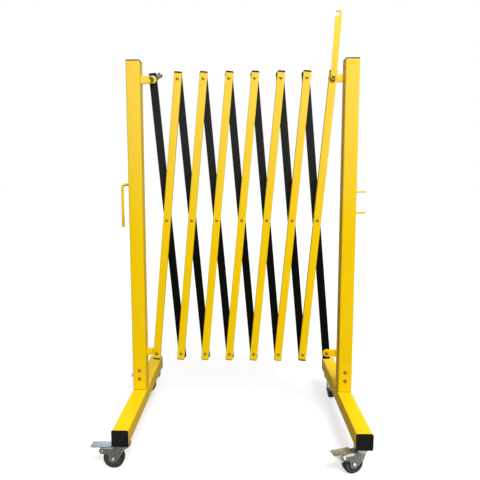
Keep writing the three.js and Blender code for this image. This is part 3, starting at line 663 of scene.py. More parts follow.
# Mesh without a blade for DIFFERENCE, or only inside it for INTERSECT
def cut_by(mesh, blade, operation="DIFFERENCE"):
    both = [linked("blank", mesh), linked("blade", blade)]
    change = both[0].modifiers.new("cut", "BOOLEAN")
    change.operation = operation
    change.solver = "EXACT"
    change.object = both[1]
    bpy.context.view_layer.update()
    made = bpy.data.meshes.new_from_object(both[0].evaluated_get(bpy.context.evaluated_depsgraph_get()))
    for each in both:
        data = each.data
        bpy.data.objects.remove(each)
        bpy.data.meshes.remove(data)
    return made


# Bead of weld along a closed loop of points, its surface rippled a little
def weld(loop, out, radius, wave):
    out = Vector(out)
    rings = []
    for i, point in enumerate(loop):
        ahead = (Vector(loop[(i + 1) % len(loop)]) - Vector(loop[i - 1])).normalized()
        across = ahead.cross(out).normalized()
        swell = radius * (1 + wave * math.sin(i * WELD_RIPPLE))
        rings.append([Vector(point) + swell * (math.cos(t) * out + math.sin(t) * across)
                      for t in (2 * math.pi * k / WELD_SIDES for k in range(WELD_SIDES))])
    return skin(rings, closed_loop=True)


# Places from the frame, in millimetres
def pivot(name):
    return Vector(JOINTS[name]["pos_m"]) / MM


UPPER_LEFT = pivot("spread")
UPPER_RIGHT = pivot("right_frame_pivot")
LOWER_LEFT = pivot("left_slider_pivot")
LOWER_RIGHT = pivot("right_slider_pivot")
CELL = (UPPER_RIGHT.x - UPPER_LEFT.x) / CELLS
DROP = UPPER_LEFT.z - LOWER_LEFT.z
LEAN = math.atan2(CELL, DROP)
PITCH = math.hypot(CELL, DROP)
YELLOW_FRONT = -LATTICE_GAP / 2 - BAR_DEPTH
YELLOW_BACK = -LATTICE_GAP / 2
BLACK_FRONT = LATTICE_GAP / 2
BLACK_BACK = LATTICE_GAP / 2 + BAR_DEPTH
STRAP_BACK = YELLOW_FRONT - RIVET_RISE - STRAP_PASSING
STRAP_FRONT = STRAP_BACK - STRAP_THICKNESS


def node_box(name):
    low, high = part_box(name)
    return low / MM, high / MM


def post_centre(side):
    low, high = node_box(f"foot_{side}")
    return (low.x + high.x) / 2


# The front left caster stands for the heights of all four
CASTER = "front_left"
CASTER_HEIGHT = node_box("foot_left")[0].z
SWIVEL_TOP = CASTER_HEIGHT - FLANGE_ROOM
FORK_TOP = SWIVEL_TOP - SWIVEL_HEIGHT
SWIVEL = pivot(f"swivel_{CASTER}")
ROLL = pivot(f"roll_{CASTER}")
BRAKE = pivot(f"brake_{CASTER}")
WHEEL = ROLL.z
TRAIL = (ROLL - SWIVEL).xy.length
PIN_HEIGHT = BRAKE.z
PIN_BACK = (BRAKE - SWIVEL).xy.length
PEDAL_TOP = node_box(f"brake_pedal_{CASTER}")[1].z
PEDAL_REACH = SWIVEL.x - node_box(f"brake_pedal_{CASTER}")[0].x


# Lattice bars: a painted tube, a moulded plug in each end, and rivets

# Skirt, then the plate with its edges rounded over
def bar_plug(end, facing, middle, plate):
    corner = min(PLUG_CORNER, plate / 2)
    sides = rounded_rectangle(BAR_WIDTH, BAR_DEPTH, BAR_ROUND)
    room = 2 * BAR_WALL + 2 * SEAT
    skirt = rounded_rectangle(BAR_WIDTH - room, BAR_DEPTH - room, PLUG_SKIRT_ROUND)
    rings = [[(x, y, z) for x, y in skirt] for z in (end - facing * PLUG_SKIRT, end)]
    for share, rise in ((1.0, 0.0), *[(share, plate - left * corner) for share, left in PLUG_SHARES]):
        rings.append([(x * share, y * (0.5 + share / 2), end + facing * rise) for x, y in sides])
    return skin([[(x, y + middle, z) for x, y, z in ring] for ring in rings])


# Domed head from its middle out to its seat, as (radius, place) points
def dome_profile(radius, rise, seat, facing):
    lip = rise * DOME_LIP_SHARE
    angles = [math.pi / 2 * (DOME_STEPS - i) / DOME_STEPS for i in range(DOME_STEPS + 1)]
    dome = [(radius * math.cos(t), seat + facing * (lip + (rise - lip) * math.sin(t))) for t in angles]
    dome[0] = (0, seat + facing * rise)
    return [*dome, (radius, seat + facing * lip * DOME_FOOT_SHARE), (radius * DOME_SEAT_SHARE, seat)]


# Domed head, then a plain shank to the end, with what is asked for between them
def bolt_profile(head, rise, seat, end, between=()):
    return [*dome_profile(head, rise, seat, -1), (PIVOT_SHANK, seat), *between, (PIVOT_SHANK, end), (0, end)]


# Rivet through both bars, with its spacer collar between them
def rivet(height):
    front = dome_profile(RIVET_HEAD, RIVET_RISE, YELLOW_FRONT, -1)
    rear = dome_profile(RIVET_HEAD, RIVET_RISE, BLACK_BACK + SEAT, 1)[::-1]
    half = LATTICE_GAP / 2 - SEAT
    collar = [(RIVET_SHANK, -half), (COLLAR - COLLAR_EDGE, -half), (COLLAR, COLLAR_EDGE - half),
              (COLLAR, half - COLLAR_EDGE), (COLLAR - COLLAR_EDGE, half), (RIVET_SHANK, half)]
    profile = [*front, (RIVET_SHANK, YELLOW_FRONT), *collar, (RIVET_SHANK, BLACK_BACK + SEAT), *rear]
    return turned(profile, 28, (0, height))


def build_bar(kind, index, foot, lean, front, back, material, rivets, lower_plate=BAR_PLUG):
    middle = (front + back) / 2
    matrix = place(foot.x, 0, foot.z, lean)
    low, high = -BAR_END + lower_plate, PITCH + BAR_END - BAR_PLUG
    body = f"{kind}_{index}"
    # Painted light on the yellow bars, paler towards the top; painted sheen on the black bars, greyer towards
    # their upper ends
    share = "painted_top_light"
    rows = (TOP_LIGHT_LOW - foot.z, TOP_LIGHT_HIGH - foot.z)
    if kind == "black":
        share = "painted_light_share"
        rows = (SHEEN_LOW, SHEEN_HIGH)
    walls = faded(tube(BAR_WIDTH, BAR_DEPTH, BAR_ROUND, BAR_WALL, low, high, rows=rows), *rows, share)
    walls.transform(place(0, middle, 0))
    piece(f"bar_{body}", walls, material, body, [f"{kind}_bar_{index}"], matrix)
    for name, end, facing, plate in (("lower", low, -1, lower_plate), ("upper", high, 1, BAR_PLUG)):
        piece(f"bar_plug_{name}_{body}", bar_plug(end, facing, middle, plate), PLASTIC, body,
              matrix=matrix, sharp=ROUNDED_EDGE)
    for name, height in rivets.items():
        piece(f"rivet_{name}_{body}", rivet(height), RIVET, body, matrix=matrix)


for i in range(CELLS):
    rivets = {"middle": PITCH / 2}
    if i > 0:
        rivets["lower"] = 0
    if i < CELLS - 1:
        rivets["upper"] = PITCH
    lower = Vector((UPPER_LEFT.x + i * CELL, 0, LOWER_LEFT.z))
    lower_plate = BAR_PLUG if i in (0, CELLS - 1) else SUNK_PLUG
    build_bar("yellow", i + 1, lower, LEAN, YELLOW_FRONT, YELLOW_BACK, YELLOW, rivets,
              lower_plate)
    lower = Vector((UPPER_LEFT.x + (i + 1) * CELL, 0, LOWER_LEFT.z))
    build_bar("black", i + 1, lower, -LEAN, BLACK_FRONT, BLACK_BACK, BLACK, {})


# Posts with their upper tabs, slots and caps; each side comes with its way inwards

SIDES = (("left", 1), ("right", -1))


# Bracket tab with its pivot hole, its root as far behind the post's face as it is told
def tab_plate(inward, face_x, height, root=0):
    half = TAB_HEIGHT / 2
    points = [(-root, -half), *arc((TAB_REACH, 0), half, -90, 90, 14), (-root, half)]
    outline = [(inward * x, z) for x, z in points][::inward]
    hole = [circle((inward * TAB_REACH, 0), PIVOT_SHANK + SEAT)]
    plate = flat_plate(outline, hole, -TAB_THICKNESS / 2, TAB_THICKNESS / 2, TAB_EDGE)
    return moved(plate, place(face_x, 0, height))


def tab_weld(inward, face_x, height):
    depth = TAB_THICKNESS + TAB_WELD_SPREAD * 2
    loop = [(face_x + inward * TAB_WELD_OUT, y, height + z)
            for y, z in rounded_rectangle(depth, TAB_HEIGHT, TAB_WELD_ROUND, 4)]
    return weld(loop, (inward, 0, 0), TAB_WELD, TAB_WELD_WAVE)


def build_post(side, inward):
    x = post_centre(side)
    body = f"{side}_frame"
    low, high = node_box(f"post_{side}")
    foot_shade_top = low.z + FOOT_SHADE_BAND
    walls = tube(POST_SIDE, POST_SIDE, POST_ROUND, POST_WALL, low.z, high.z, ease=POST_EASE, steps=6,
                 rows=(foot_shade_top, foot_shade_top + FOOT_SHADE_FADE, TOP_LIGHT_LOW, TOP_LIGHT_HIGH))
    walls.transform(place(x, 0, 0))
    lowest = UPPER_LEFT.z - math.sqrt(PITCH ** 2 - FOLDED_CELL ** 2)
    highest = UPPER_LEFT.z - PITCH * math.cos(OPEN_ANGLE)
    half_height = TAB_HEIGHT / 2 + SLOT_END_GAP
    face = x + inward * POST_SIDE / 2
    cutter = bar_solid(SLOT_CUT, 2 * SLOT_HALF, SLOT_ROUND, lowest - half_height, highest + half_height,
                       SLOT_EASE)
    cutter.transform(place(face, 0, 0))
    # Painted shade: the post's lowest band takes the darker yellow, where the post stands on the foot
    walls = with_painted_light(cut_by(walls, cutter), lambda co: 1.0 if co.z < foot_shade_top + FOOT_SHADE_MARGIN else 0.0)
    for name, mesh, nodes in (("tube", walls, [f"post_{side}"]),
                              ("tab", tab_plate(inward, face, UPPER_LEFT.z), []),
                              ("weld", tab_weld(inward, face, UPPER_LEFT.z), [])):
        # Painted light: post, tab and weld turn paler towards the top
        painted = faded(mesh, TOP_LIGHT_LOW, TOP_LIGHT_HIGH, "painted_top_light")
        piece(f"post_{name}_{side}", painted, YELLOW, body, nodes)
    cap_low, cap_high = node_box(f"post_cap_{side}")
    seat = cap_high.z - CAP_PLATE
    cap = plug(POST_SIDE, POST_ROUND, CAP_PLATE, POST_SIDE - 2 * POST_WALL, seat - cap_low.z)
    piece(f"post_cap_{side}_moulding", cap, PLASTIC, body, [f"post_cap_{side}"],
          place(x, 0, seat), sharp=ROUNDED_EDGE)
    for spot in ("upper", "lower"):
        name = f"post_bolt_{spot}_{side}"
        low, high = node_box(name)
        dome = turned(bolt_profile(BOLT_HEAD, BOLT_RISE, -POST_SIDE / 2 - SEAT, high.y),
                      centre=(x, (low.z + high.z) / 2))
        piece(f"{name}_dome", dome, RIVET, body, [name])


# Moulded square plug: a plate with eased edges at z = 0 and up, and a skirt into the tube
def plug(side, radius, plate, bore, depth):
    inner = bore - 2 * SEAT
    skirt = rounded_rectangle(inner, inner, CAP_SKIRT_ROUND)
    rings = [[(x, y, z) for x, y in skirt] for z in (-depth, 0)]
    edge = [(CAP_EDGE, 0), (0, CAP_EDGE)]
    for inset, rise in (*edge, *[(inset, plate * share) for inset, share in CAP_SHARES]):
        width = side - 2 * inset
        corner = max(radius - inset, CAP_LEAST_ROUND)
        rings.append([(x, y, rise) for x, y in rounded_rectangle(width, width, corner)])
    return skin(rings)


def build_foot(side):
    x = post_centre(side)
    body = f"{side}_frame"
    low, high = node_box(f"foot_{side}")
    middle = low.z + FOOT_SIDE / 2
    walls = tube(FOOT_SIDE, FOOT_SIDE, FOOT_ROUND, FOOT_WALL, low.y, high.y, steps=7)
    walls.transform(place(x, 0, middle, math.radians(-90), "X"))
    piece(f"foot_tube_{side}", walls, YELLOW, body, [f"foot_{side}"])
    inner = POST_SIDE - 2 * POST_WALL - 2 * SEAT
    stub = tube(inner, inner, STUB_ROUND, FOOT_WALL, low.z + FOOT_SIDE - STUB_SINK, high.z)
    stub.transform(place(x, 0, 0))
    piece(f"foot_stub_{side}", stub, YELLOW, body)
    for end, facing in (("front", -1), ("rear", 1)):
        name = f"foot_plug_{end}_{side}"
        cap_low, cap_high = node_box(name)
        face = cap_low.y if facing < 0 else cap_high.y
        depth = cap_high.y - cap_low.y - CAP_PLATE
        cap = plug(FOOT_SIDE + 2 * PLUG_PROUD, FOOT_ROUND, CAP_PLATE, FOOT_SIDE - 2 * FOOT_WALL, depth)
        matrix = place(x, face - facing * CAP_PLATE, middle, math.radians(-90 * facing), "X")
        piece(f"{name}_moulding", cap, PLASTIC, body, [name], matrix, sharp=ROUNDED_EDGE)


for side, inward in SIDES:
    build_post(side, inward)
    build_foot(side)


# Lower brackets: a guide shoe inside the post carries the tab that comes out of the slot

def build_slider(side, inward):
    node = f"lower_slider_{side}"
    body = f"{side}_slider"
    x = post_centre(side)
    face = x + inward * POST_SIDE / 2
    low, high = node_box(node)
    shoe_side = high.y - low.y
    height = (low.z + high.z) / 2
    shoe = tube(shoe_side, shoe_side, SHOE_ROUND, SHOE_WALL, low.z, high.z, ease=SHOE_EASE)
    shoe.transform(place(x, 0, 0))
    piece(f"slider_shoe_{side}", shoe, PLASTIC, body, [node])
    tab = tab_plate(inward, face, height, POST_SIDE / 2 - shoe_side / 2)
    piece(f"slider_tab_{side}", tab, YELLOW, body)


for side, inward in SIDES:
    build_slider(side, inward)


# Pivot bolts, each with its hexagon nut

def hexagon_nut(front, back, centre, flat=NUT_FLAT, bore=PIVOT_SHANK):
    corner = flat / math.cos(math.radians(30))
    angles = [math.radians(360 / NUT_SIDES * k) for k in range(NUT_SIDES)]
    reach = [flat / math.cos((angle % math.radians(60)) - math.radians(30)) for angle in angles]
    rows = [(front, flat), (front + NUT_EDGE, corner), (back - NUT_EDGE, corner), (back, flat)]
    rings = [(along, [min(each, most) for each in reach]) for along, most in rows]
    rings += [(along, [bore] * NUT_SIDES) for along in (back, front)]
    return skin([[(centre[0] + radius * math.cos(angle), along, centre[1] + radius * math.sin(angle))
                  for angle, radius in zip(angles, radii)] for along, radii in rings], closed_loop=True)


# Threaded end with round ridges
def thread(front, back, radius, centre):
    profile = [(0, front), (radius - THREAD_START, front)]
    for k in range(int((back - front) / THREAD_PITCH)):
        profile.append((radius, front + (k + THREAD_CREST_SHARE) * THREAD_PITCH))
        profile.append((radius - THREAD_DEPTH, front + (k + THREAD_ROOT_SHARE) * THREAD_PITCH))
    profile += [(radius - THREAD_END, back), (0, back)]
    return turned(profile, 24, centre)


def bolt(name, body, centre, profile, finish=RIVET):
    piece(f"{name}_bolt", turned(profile, centre=centre), finish, body, [name])


HALF_TAB = TAB_THICKNESS / 2 + SEAT
NUT_SEAT = BLACK_BACK + SEAT


def build_pivot_bolts():
    spacer = [(PIVOT_SHANK, STRAP_BACK + SEAT), (SPACER, STRAP_BACK + SEAT),
              (SPACER, YELLOW_FRONT - SEAT), (PIVOT_SHANK, YELLOW_FRONT - SEAT)]
    for spot, body, centre, seat, nut, between in (
            ("upper_right", "right_frame", UPPER_RIGHT, STRAP_FRONT - SEAT, HALF_TAB, spacer),
            ("lower_left", "left_slider", LOWER_LEFT, YELLOW_FRONT - SEAT, HALF_TAB, ()),
            ("lower_right", "right_slider", LOWER_RIGHT, -HALF_TAB, NUT_SEAT, ())):
        at = (centre.x, centre.z)
        end = nut + NUT_HEIGHT
        profile = bolt_profile(PIVOT_HEAD, PIVOT_RISE, seat, end, between)
        bolt(f"pivot_bolt_{spot}", body, at, profile)
        piece(f"pivot_nut_{spot}", hexagon_nut(nut, end - NUT_SHORT, at), ZINC, body)


def build_latch_stud():
    at = (UPPER_LEFT.x, UPPER_LEFT.z)
    seat = STRAP_FRONT - STUD_GAP
    bolt("latch_stud", "left_frame", at,
         [*dome_profile(STUD_HEAD, PIVOT_RISE, seat, -1), (STUD_SLEEVE, seat), (STUD_SLEEVE, -HALF_TAB),
          (PIVOT_SHANK, -HALF_TAB), (PIVOT_SHANK - THREAD_END, BLACK_BACK), (0, BLACK_BACK)], STUD)
    tail = thread(BLACK_BACK, node_box("latch_stud")[1].y, PIVOT_SHANK, at)
    piece("latch_stud_thread", tail, STEEL, "left_frame", sharp=THREAD_EDGE)


# Clamp lever: a tapered hub and one arm with a round thumb pad, dished on both faces
def lever_outline(inset):
    neck, pad = LEVER_NECK - inset, LEVER_PAD - inset
    root = LEVER_ROOT + inset
    middle = (LEVER_ROOT + LEVER_REACH - math.sqrt(pad ** 2 - neck ** 2)) / 2
    swing = math.degrees(math.asin(neck / pad))
    round_end = arc((LEVER_REACH, 0), pad, swing - 180, 180 - swing, 24)
    return [(root, -neck), (middle, -neck), *round_end, (middle, neck), (root, neck)]


def lever_arm():
    half = LEVER_THICKNESS / 2
    steps = [(inset, depth - half) for inset, depth in LEVER_DISH]
    steps += [(inset, -y) for inset, y in steps[::-1]]
    rings = [[(x, y, z) for x, z in lever_outline(inset)] for inset, y in steps]
    return moved(skin(rings), place(0, LEVER_STAND + half, 0))


# Raised rib along the arm, from the hub to the end of the pad, on the front or the back
def lever_rib(side):
    half = LEVER_THICKNESS / 2
    path = [(x, LEVER_STAND + half + side * (half - depth), 0) for x, depth in LEVER_RIB_PATH]
    return rod(path, LEVER_RIB, 14)


def build_clamp_lever():
    matrix = place(UPPER_LEFT.x, NUT_SEAT, UPPER_LEFT.z, -LEVER_TURN)
    casting = merged([turned(LEVER_HUB), lever_arm()])
    piece("clamp_lever_casting", casting, ZINC, "lever", ["clamp_lever"], matrix, sharp=CAST_EDGE)
    ribs = merged([lever_rib(-1), lever_rib(1)])
    # Painted highlight: the rib takes a lighter zinc than the casting it belongs to
    piece("clamp_lever_rib", ribs, LIT_ZINC, "lever", matrix=matrix)


# Latch strap with its hook notch
def build_latch():
    w = STRAP_WIDTH / 2
    notch_x = NOTCH_DEPTH - NOTCH_RADIUS - w
    along = math.sqrt((CELLS * FOLDED_CELL) ** 2 - notch_x ** 2)
    top = along + NOTCH_RADIUS + STRAP_TIP
    outline = [*arc((0, 0), w, 180, 360, 16), (w, top - STRAP_CORNER), (w - STRAP_CORNER, top),
               (STRAP_TIP - w, top), (-w, top - STRAP_TIP / 2), (-w, along + NOTCH_RADIUS),
               *arc((notch_x, along), NOTCH_RADIUS, 90, -90, 14), (-w, along - NOTCH_RADIUS)]
    strip = flat_plate(outline, [circle((0, 0), PIVOT_SHANK + SEAT)], STRAP_FRONT, STRAP_BACK, STRAP_EDGE)
    # Painted light: the whole strap takes the paler yellow of the upper parts
    with_painted_light(strip, lambda co: 1.0, "painted_top_light")
    piece("latch_strap_blade", strip, YELLOW, "latch", ["latch_strap"],
          place(UPPER_RIGHT.x, 0, UPPER_RIGHT.z, STRAP_TILT))


# Link hook and eyes
def build_link():
    x = post_centre("left") - POST_SIDE / 2
    bend = arc((-LINK_OFFSET + HOOK_BEND, -HOOK_BEND), HOOK_BEND, 90, 180, 10)
    path = [(-SEAT, 0), *bend, (-LINK_OFFSET, -HOOK_DROP / 2), (-LINK_OFFSET, -HOOK_DROP)]
    top = node_box("link_hook")[1].z - HOOK_ROD
    bar = rod([(x + px, 0, top + pz) for px, pz in path], HOOK_ROD)
    piece("link_hook_rod", bar, YELLOW, "left_frame", ["link_hook"], sharp=ROUNDED_EDGE)
    loop = [(x - LINK_WELD_OUT, y, z) for y, z in circle((0, top), HOOK_WELD_RING, 24)]
    bead = weld(loop, (-1, 0, 0), HOOK_WELD, LINK_WELD_WAVE)
    piece("link_hook_weld", bead, YELLOW, "left_frame")
    face = post_centre("right") + POST_SIDE / 2
    outline = [(SEAT, -EYE_EDGE), *arc((LINK_OFFSET, 0), EYE_EDGE, -90, 90, 16), (SEAT, EYE_EDGE)]
    half = EYE_THICKNESS / 2
    for spot in ("upper", "lower"):
        name = f"link_eye_{spot}"
        low, high = node_box(name)
        height = (low.z + high.z) / 2
        eye = flat_plate(outline, [circle((LINK_OFFSET, 0), EYE_HOLE)], -half, half, EYE_BEVEL)
        matrix = place(face, 0, height) @ UPRIGHT
        piece(f"{name}_plate", eye, YELLOW, "right_frame", [name], matrix)
        loop = [(face + LINK_WELD_OUT, y, height + z)
                for y, z in rounded_rectangle(2 * EYE_EDGE, EYE_THICKNESS, EYE_WELD_ROUND, 3)]
        bead = weld(loop, (1, 0, 0), EYE_WELD, LINK_WELD_WAVE)
        piece(f"{name}_weld", bead, YELLOW, "right_frame")


build_pivot_bolts()
build_latch_stud()
build_clamp_lever()
build_latch()
build_link()


# Casters, drawn about the kingpin on z = 0, trailing towards -X

def caster_matrix(name):
    swivel = pivot(f"swivel_{name}")
    wheel = pivot(f"roll_{name}")
    back = (swivel - wheel).xy.normalized()
    turn = math.atan2(back.y, back.x)
    return place(swivel.x, swivel.y, 0, turn, "Z")


# Folded channel along X, open below, with extra rows of points up its sides
def channel(width, wall, rounding, low, top, rows, ends):
    half = width / 2

    def section(w, t, r):
        return [(-w, low), *[(-w, row) for row in rows], *arc((-w + r, t - r), r, 180, 90, 5),
                *arc((w - r, t - r), r, 90, 0, 5), *[(w, row) for row in rows[::-1]], (w, low)]

    outer = section(half, top, rounding)
    inner = section(half - wall, top - wall, max(rounding - wall, LEAST_INNER_ROUND))
    loop = outer + inner[::-1]
    return skin([[(x, y, z) for y, z in loop] for x in ends])


# Front of the fork leans in past its crease and then wraps round towards the middle
def bent_in(mesh, wrap_radius):
    for vertex in mesh.vertices:
        x = vertex.co.x
        if x <= CREASE:
            continue
        leaned = (min(x, WRAP) - CREASE) * math.tan(CREASE_LEAN)
        if x > WRAP:
            run = x - WRAP
            leaned += run * math.tan(CREASE_LEAN) + wrap_radius - math.sqrt(wrap_radius ** 2 - run ** 2)
        vertex.co.y *= 1 - leaned / FORK_HALF
    return mesh


# Front edge of a bulged fork, from the axle end up to its front corner
def bulge_edge(start):
    bend = Vector((BULGE_REACH, WHEEL + BULGE_RISE))
    end = Vector((BULGE_FRONT, FORK_TOP - FORK_PLATE))
    return [tuple((1 - t) ** 2 * Vector(start) + 2 * t * (1 - t) * bend + t ** 2 * end)
            for t in (i / BULGE_STEPS for i in range(1, BULGE_STEPS))]


# Painted highlight along the top bend behind the swivel head, and a weaker one on the crease and the wrapped
# front
def fork_painted_highlight(co, low):
    outer_side = abs(co.y) > FORK_HALF - FORK_ROUND + BRIGHT_SIDE
    if co.x < BRIGHT_BACK + BRIGHT_ROW and co.z > low and outer_side:
        return 1.0
    if co.x <= FORK_HIGHLIGHT_SHARES[0][0]:
        return 0.0
    for (x0, low_share), (x1, high_share) in zip(FORK_HIGHLIGHT_SHARES, FORK_HIGHLIGHT_SHARES[1:]):
        if co.x <= x1:
            return low_share + (high_share - low_share) * (co.x - x0) / (x1 - x0)
    return FORK_HIGHLIGHT_SHARES[-1][1]


def fork_mesh(bulged):
    front = BULGE_FRONT if bulged else FORK_FRONT
    stations = [-FORK_BLANK_BACK, -FORK_WEB_BACK, BRIGHT_BACK, BRIGHT_BACK + BRIGHT_FADE,
                CREASE - CREASE_HALF, CREASE, CREASE + CREASE_HALF, WRAP_START, WRAP, *WRAP_STATIONS,
                WRAP_END, (front + WRAP_END) / 2, front, front + FORK_BLANK_FRONT]
    highlight_low = FORK_TOP - FORK_ROUND - (BULGE_BRIGHT_DROP if bulged else BRIGHT_DROP)
    body = channel(2 * FORK_HALF, FORK_PLATE, FORK_ROUND, FORK_BLANK_LOW, FORK_TOP,
                   (highlight_low - BRIGHT_ROW, highlight_low), stations)
    notch = (-TRAIL - FORK_END - FORK_NOTCH, PIN_HEIGHT - FORK_EAR - FORK_NOTCH)
    axle_end = arc((-TRAIL, WHEEL), FORK_END, 180, 360 - FORK_END_ANGLE, 18)
    outline = [(front, FORK_TOP + FORK_CUT_OVER), (-FORK_WEB_BACK, FORK_TOP + FORK_CUT_OVER),
               (-FORK_WEB_BACK, FORK_TOP - FORK_CUT_LIP),
               *arc((-PIN_BACK, PIN_HEIGHT), FORK_EAR, 91, 270, 16),
               *arc(notch, FORK_NOTCH, 88, 0, 12), *axle_end,
               *(bulge_edge(axle_end[-1]) if bulged else []), (front, FORK_TOP - FORK_PLATE)]
    keeper = skin([[(x, y, z) for x, z in outline] for y in (-FORK_CUT_HALF, FORK_CUT_HALF)])
    shaped = cut_by(body, keeper, "INTERSECT")
    corners = [(-WEB_CUT_BACK, -FORK_INNER), (-FORK_WEB_BACK, -FORK_INNER), (-FORK_WEB_BACK, FORK_INNER),
               (-WEB_CUT_BACK, FORK_INNER)]
    gap = skin([[(x, y, z) for x, y in corners] for z in (FORK_TOP - WEB_CUT_LOW, FORK_TOP + WEB_CUT_HIGH)])
    # Painted highlight shares on the fork
    plates = with_painted_light(cut_by(shaped, gap), lambda co: fork_painted_highlight(co, highlight_low - BRIGHT_MARGIN))
    return bent_in(plates, BULGE_WRAP_RADIUS if bulged else WRAP_RADIUS)


def build_caster(name):
    side = name.split("_")[1]
    matrix = caster_matrix(name)
    fork = f"fork_{name}"
    bulged = side == "right"
    # Painted light and shade: the right casters' fork takes the lighter zinc copy, the left casters' the
    # darker one
    finish = LIT_FORK_ZINC if bulged else SHADED_FORK_ZINC
    piece(f"caster_fork_{name}_pressing", fork_mesh(bulged), finish, fork, [f"caster_fork_{name}"],
          matrix, sharp=PRESSED_EDGE)
    head = moved(turned([(radius, SWIVEL_TOP + rise) for radius, rise in SWIVEL_PROFILE], 48), UPRIGHT)
    # Painted light: the right swivel heads take the lighter zinc, the left ones plain zinc
    piece(f"caster_head_{name}", head, LIT_ZINC if bulged else ZINC, fork, matrix=matrix)
    build_kingpin(name, side, matrix)
    build_wheel(name, matrix)
    # Painted highlight: the right axles take the near-white polish, the left ones the lighter zinc
    build_axle(name, matrix, POLISH_AND_HIGHLIGHT if bulged else LIT_ZINC)
    build_pedal(name, matrix, bulged)


def build_kingpin(name, side, matrix):
    flange, seat = SWIVEL_TOP + SEAT, CASTER_HEIGHT - SEAT
    inner = KINGPIN_FLANGE - KINGPIN_EDGE
    end = seat + KINGPIN_STEM
    plate = turned([(0, flange), (inner, flange), (KINGPIN_FLANGE, flange + KINGPIN_EDGE),
                    (KINGPIN_FLANGE, seat - KINGPIN_EDGE), (inner, seat), (KINGPIN_SHANK, seat),
                    (KINGPIN_SHANK, end), (0, end)], 40)
    under = FORK_TOP - FORK_PLATE - SEAT
    rivet_head = turned([(radius, under + rise) for radius, rise in KINGPIN_HEAD])
    mesh = moved(merged([plate, rivet_head]), UPRIGHT)
    piece(f"caster_kingpin_{name}_plate", mesh, STEEL, f"{side}_frame",
          [f"caster_kingpin_{name}"], matrix)


# Ring with the same profile on both sides of its middle
def mirrored(face, sides, centre):
    return turned([*[(radius, -y) for radius, y in face], *face[::-1]], sides, centre)


def build_wheel(name, matrix):
    half = WHEEL_WIDTH / 2
    rim = WHEEL - TYRE_DEPTH
    body = f"wheel_{name}"
    at = (-TRAIL, WHEEL)
    hub = mirrored([*HUB_FACE, *[(rim - inset, y) for inset, y in RIM_FACE]], 48, at)
    piece(f"wheel_core_{name}", hub, CORE, body, [f"caster_wheel_{name}"], matrix)
    shoulder = arc((WHEEL - TYRE_ROUND, half - TYRE_ROUND), TYRE_ROUND, 90, 0, 6)
    tyre = mirrored([(rim, half), *shoulder], 64, at)
    piece(f"wheel_tyre_{name}", tyre, TREAD, body, matrix=matrix)


def build_axle(name, matrix, finish):
    body = f"fork_{name}"
    at = (-TRAIL, WHEEL)
    end = FORK_SEAT + AXLE_END
    shank = [(AXLE_SHANK, -FORK_SEAT), (AXLE_SHANK, FORK_SEAT + AXLE_NUT_HEIGHT), (AXLE_TIP, end), (0, end)]
    mesh = turned([*dome_profile(AXLE_DOME, AXLE_RISE, -FORK_SEAT, -1), *shank], centre=at)
    piece(f"caster_axle_{name}_bolt", mesh, finish, body, [f"caster_axle_{name}"], matrix)
    ring = turned([(radius, -FORK_SEAT - rise) for radius, rise in WASHER_PROFILE], centre=at)
    piece(f"caster_washer_{name}", ring, STUD, body, matrix=matrix)
    nut = hexagon_nut(FORK_SEAT, FORK_SEAT + AXLE_NUT_HEIGHT, at, AXLE_NUT_FLAT, AXLE_SHANK)
    piece(f"caster_axle_nut_{name}", nut, ZINC, body, matrix=matrix)


# Side of the pedal: it tapers down to a deep corner, or is a narrow lip with a lug round the pin
def pedal_side(deep):
    under = PEDAL_TOP - PEDAL_PLATE
    tip = SKIRT_TIP - PEDAL_REACH
    top = [(-SKIRT_HEEL, under + SKIRT_SINK), (tip, under + SKIRT_SINK), (tip, under)]
    if deep:
        corner = (-PIN_BACK - SKIRT_BACK + SKIRT_TOE_FRONT, PIN_HEIGHT - SKIRT_DROP + SKIRT_TOE)
        low = [*arc(corner, SKIRT_TOE, 215, 300, 5), (-PIN_BACK, PIN_HEIGHT - SKIRT_FRONT_DROP)]
    else:
        lip = under - SKIRT_LIP
        low = [(SKIRT_LIP - PEDAL_REACH, lip), (-PIN_BACK - SKIRT_LUG, lip),
               *arc((-PIN_BACK, PIN_HEIGHT), SKIRT_LUG, 180, 270, 8)]
    return [*top, *low, (-SKIRT_HEEL, under - SKIRT_HEEL_DEPTH)]


# Tread of the pedal, its long edges rolled round and its tip corners eased; painted light along it is
# brightest before its middle, with a painted highlight line there and painted shade towards both ends
def pedal_tread(outer):
    middle = PEDAL_TOP - PEDAL_PLATE + PEDAL_PLATE / 2
    steps = [(run - PEDAL_REACH, inset, 0) for run, inset in TREAD_TIP]
    steps += [(x, 0, share) for x, share in TREAD_PAINTED_LIGHT]
    rings = []
    for x, inset, share in steps:
        plate = PEDAL_PLATE - TREAD_TIP_THIN if x == -PEDAL_REACH else PEDAL_PLATE
        section = rounded_rectangle(2 * (outer - inset), plate, plate / 2 - TREAD_FLAT)
        rings.append([(x, y, middle + z) for y, z in section])
    return with_painted_light(skin(rings), lambda co: min(steps, key=lambda step: abs(step[0] - co.x))[2])


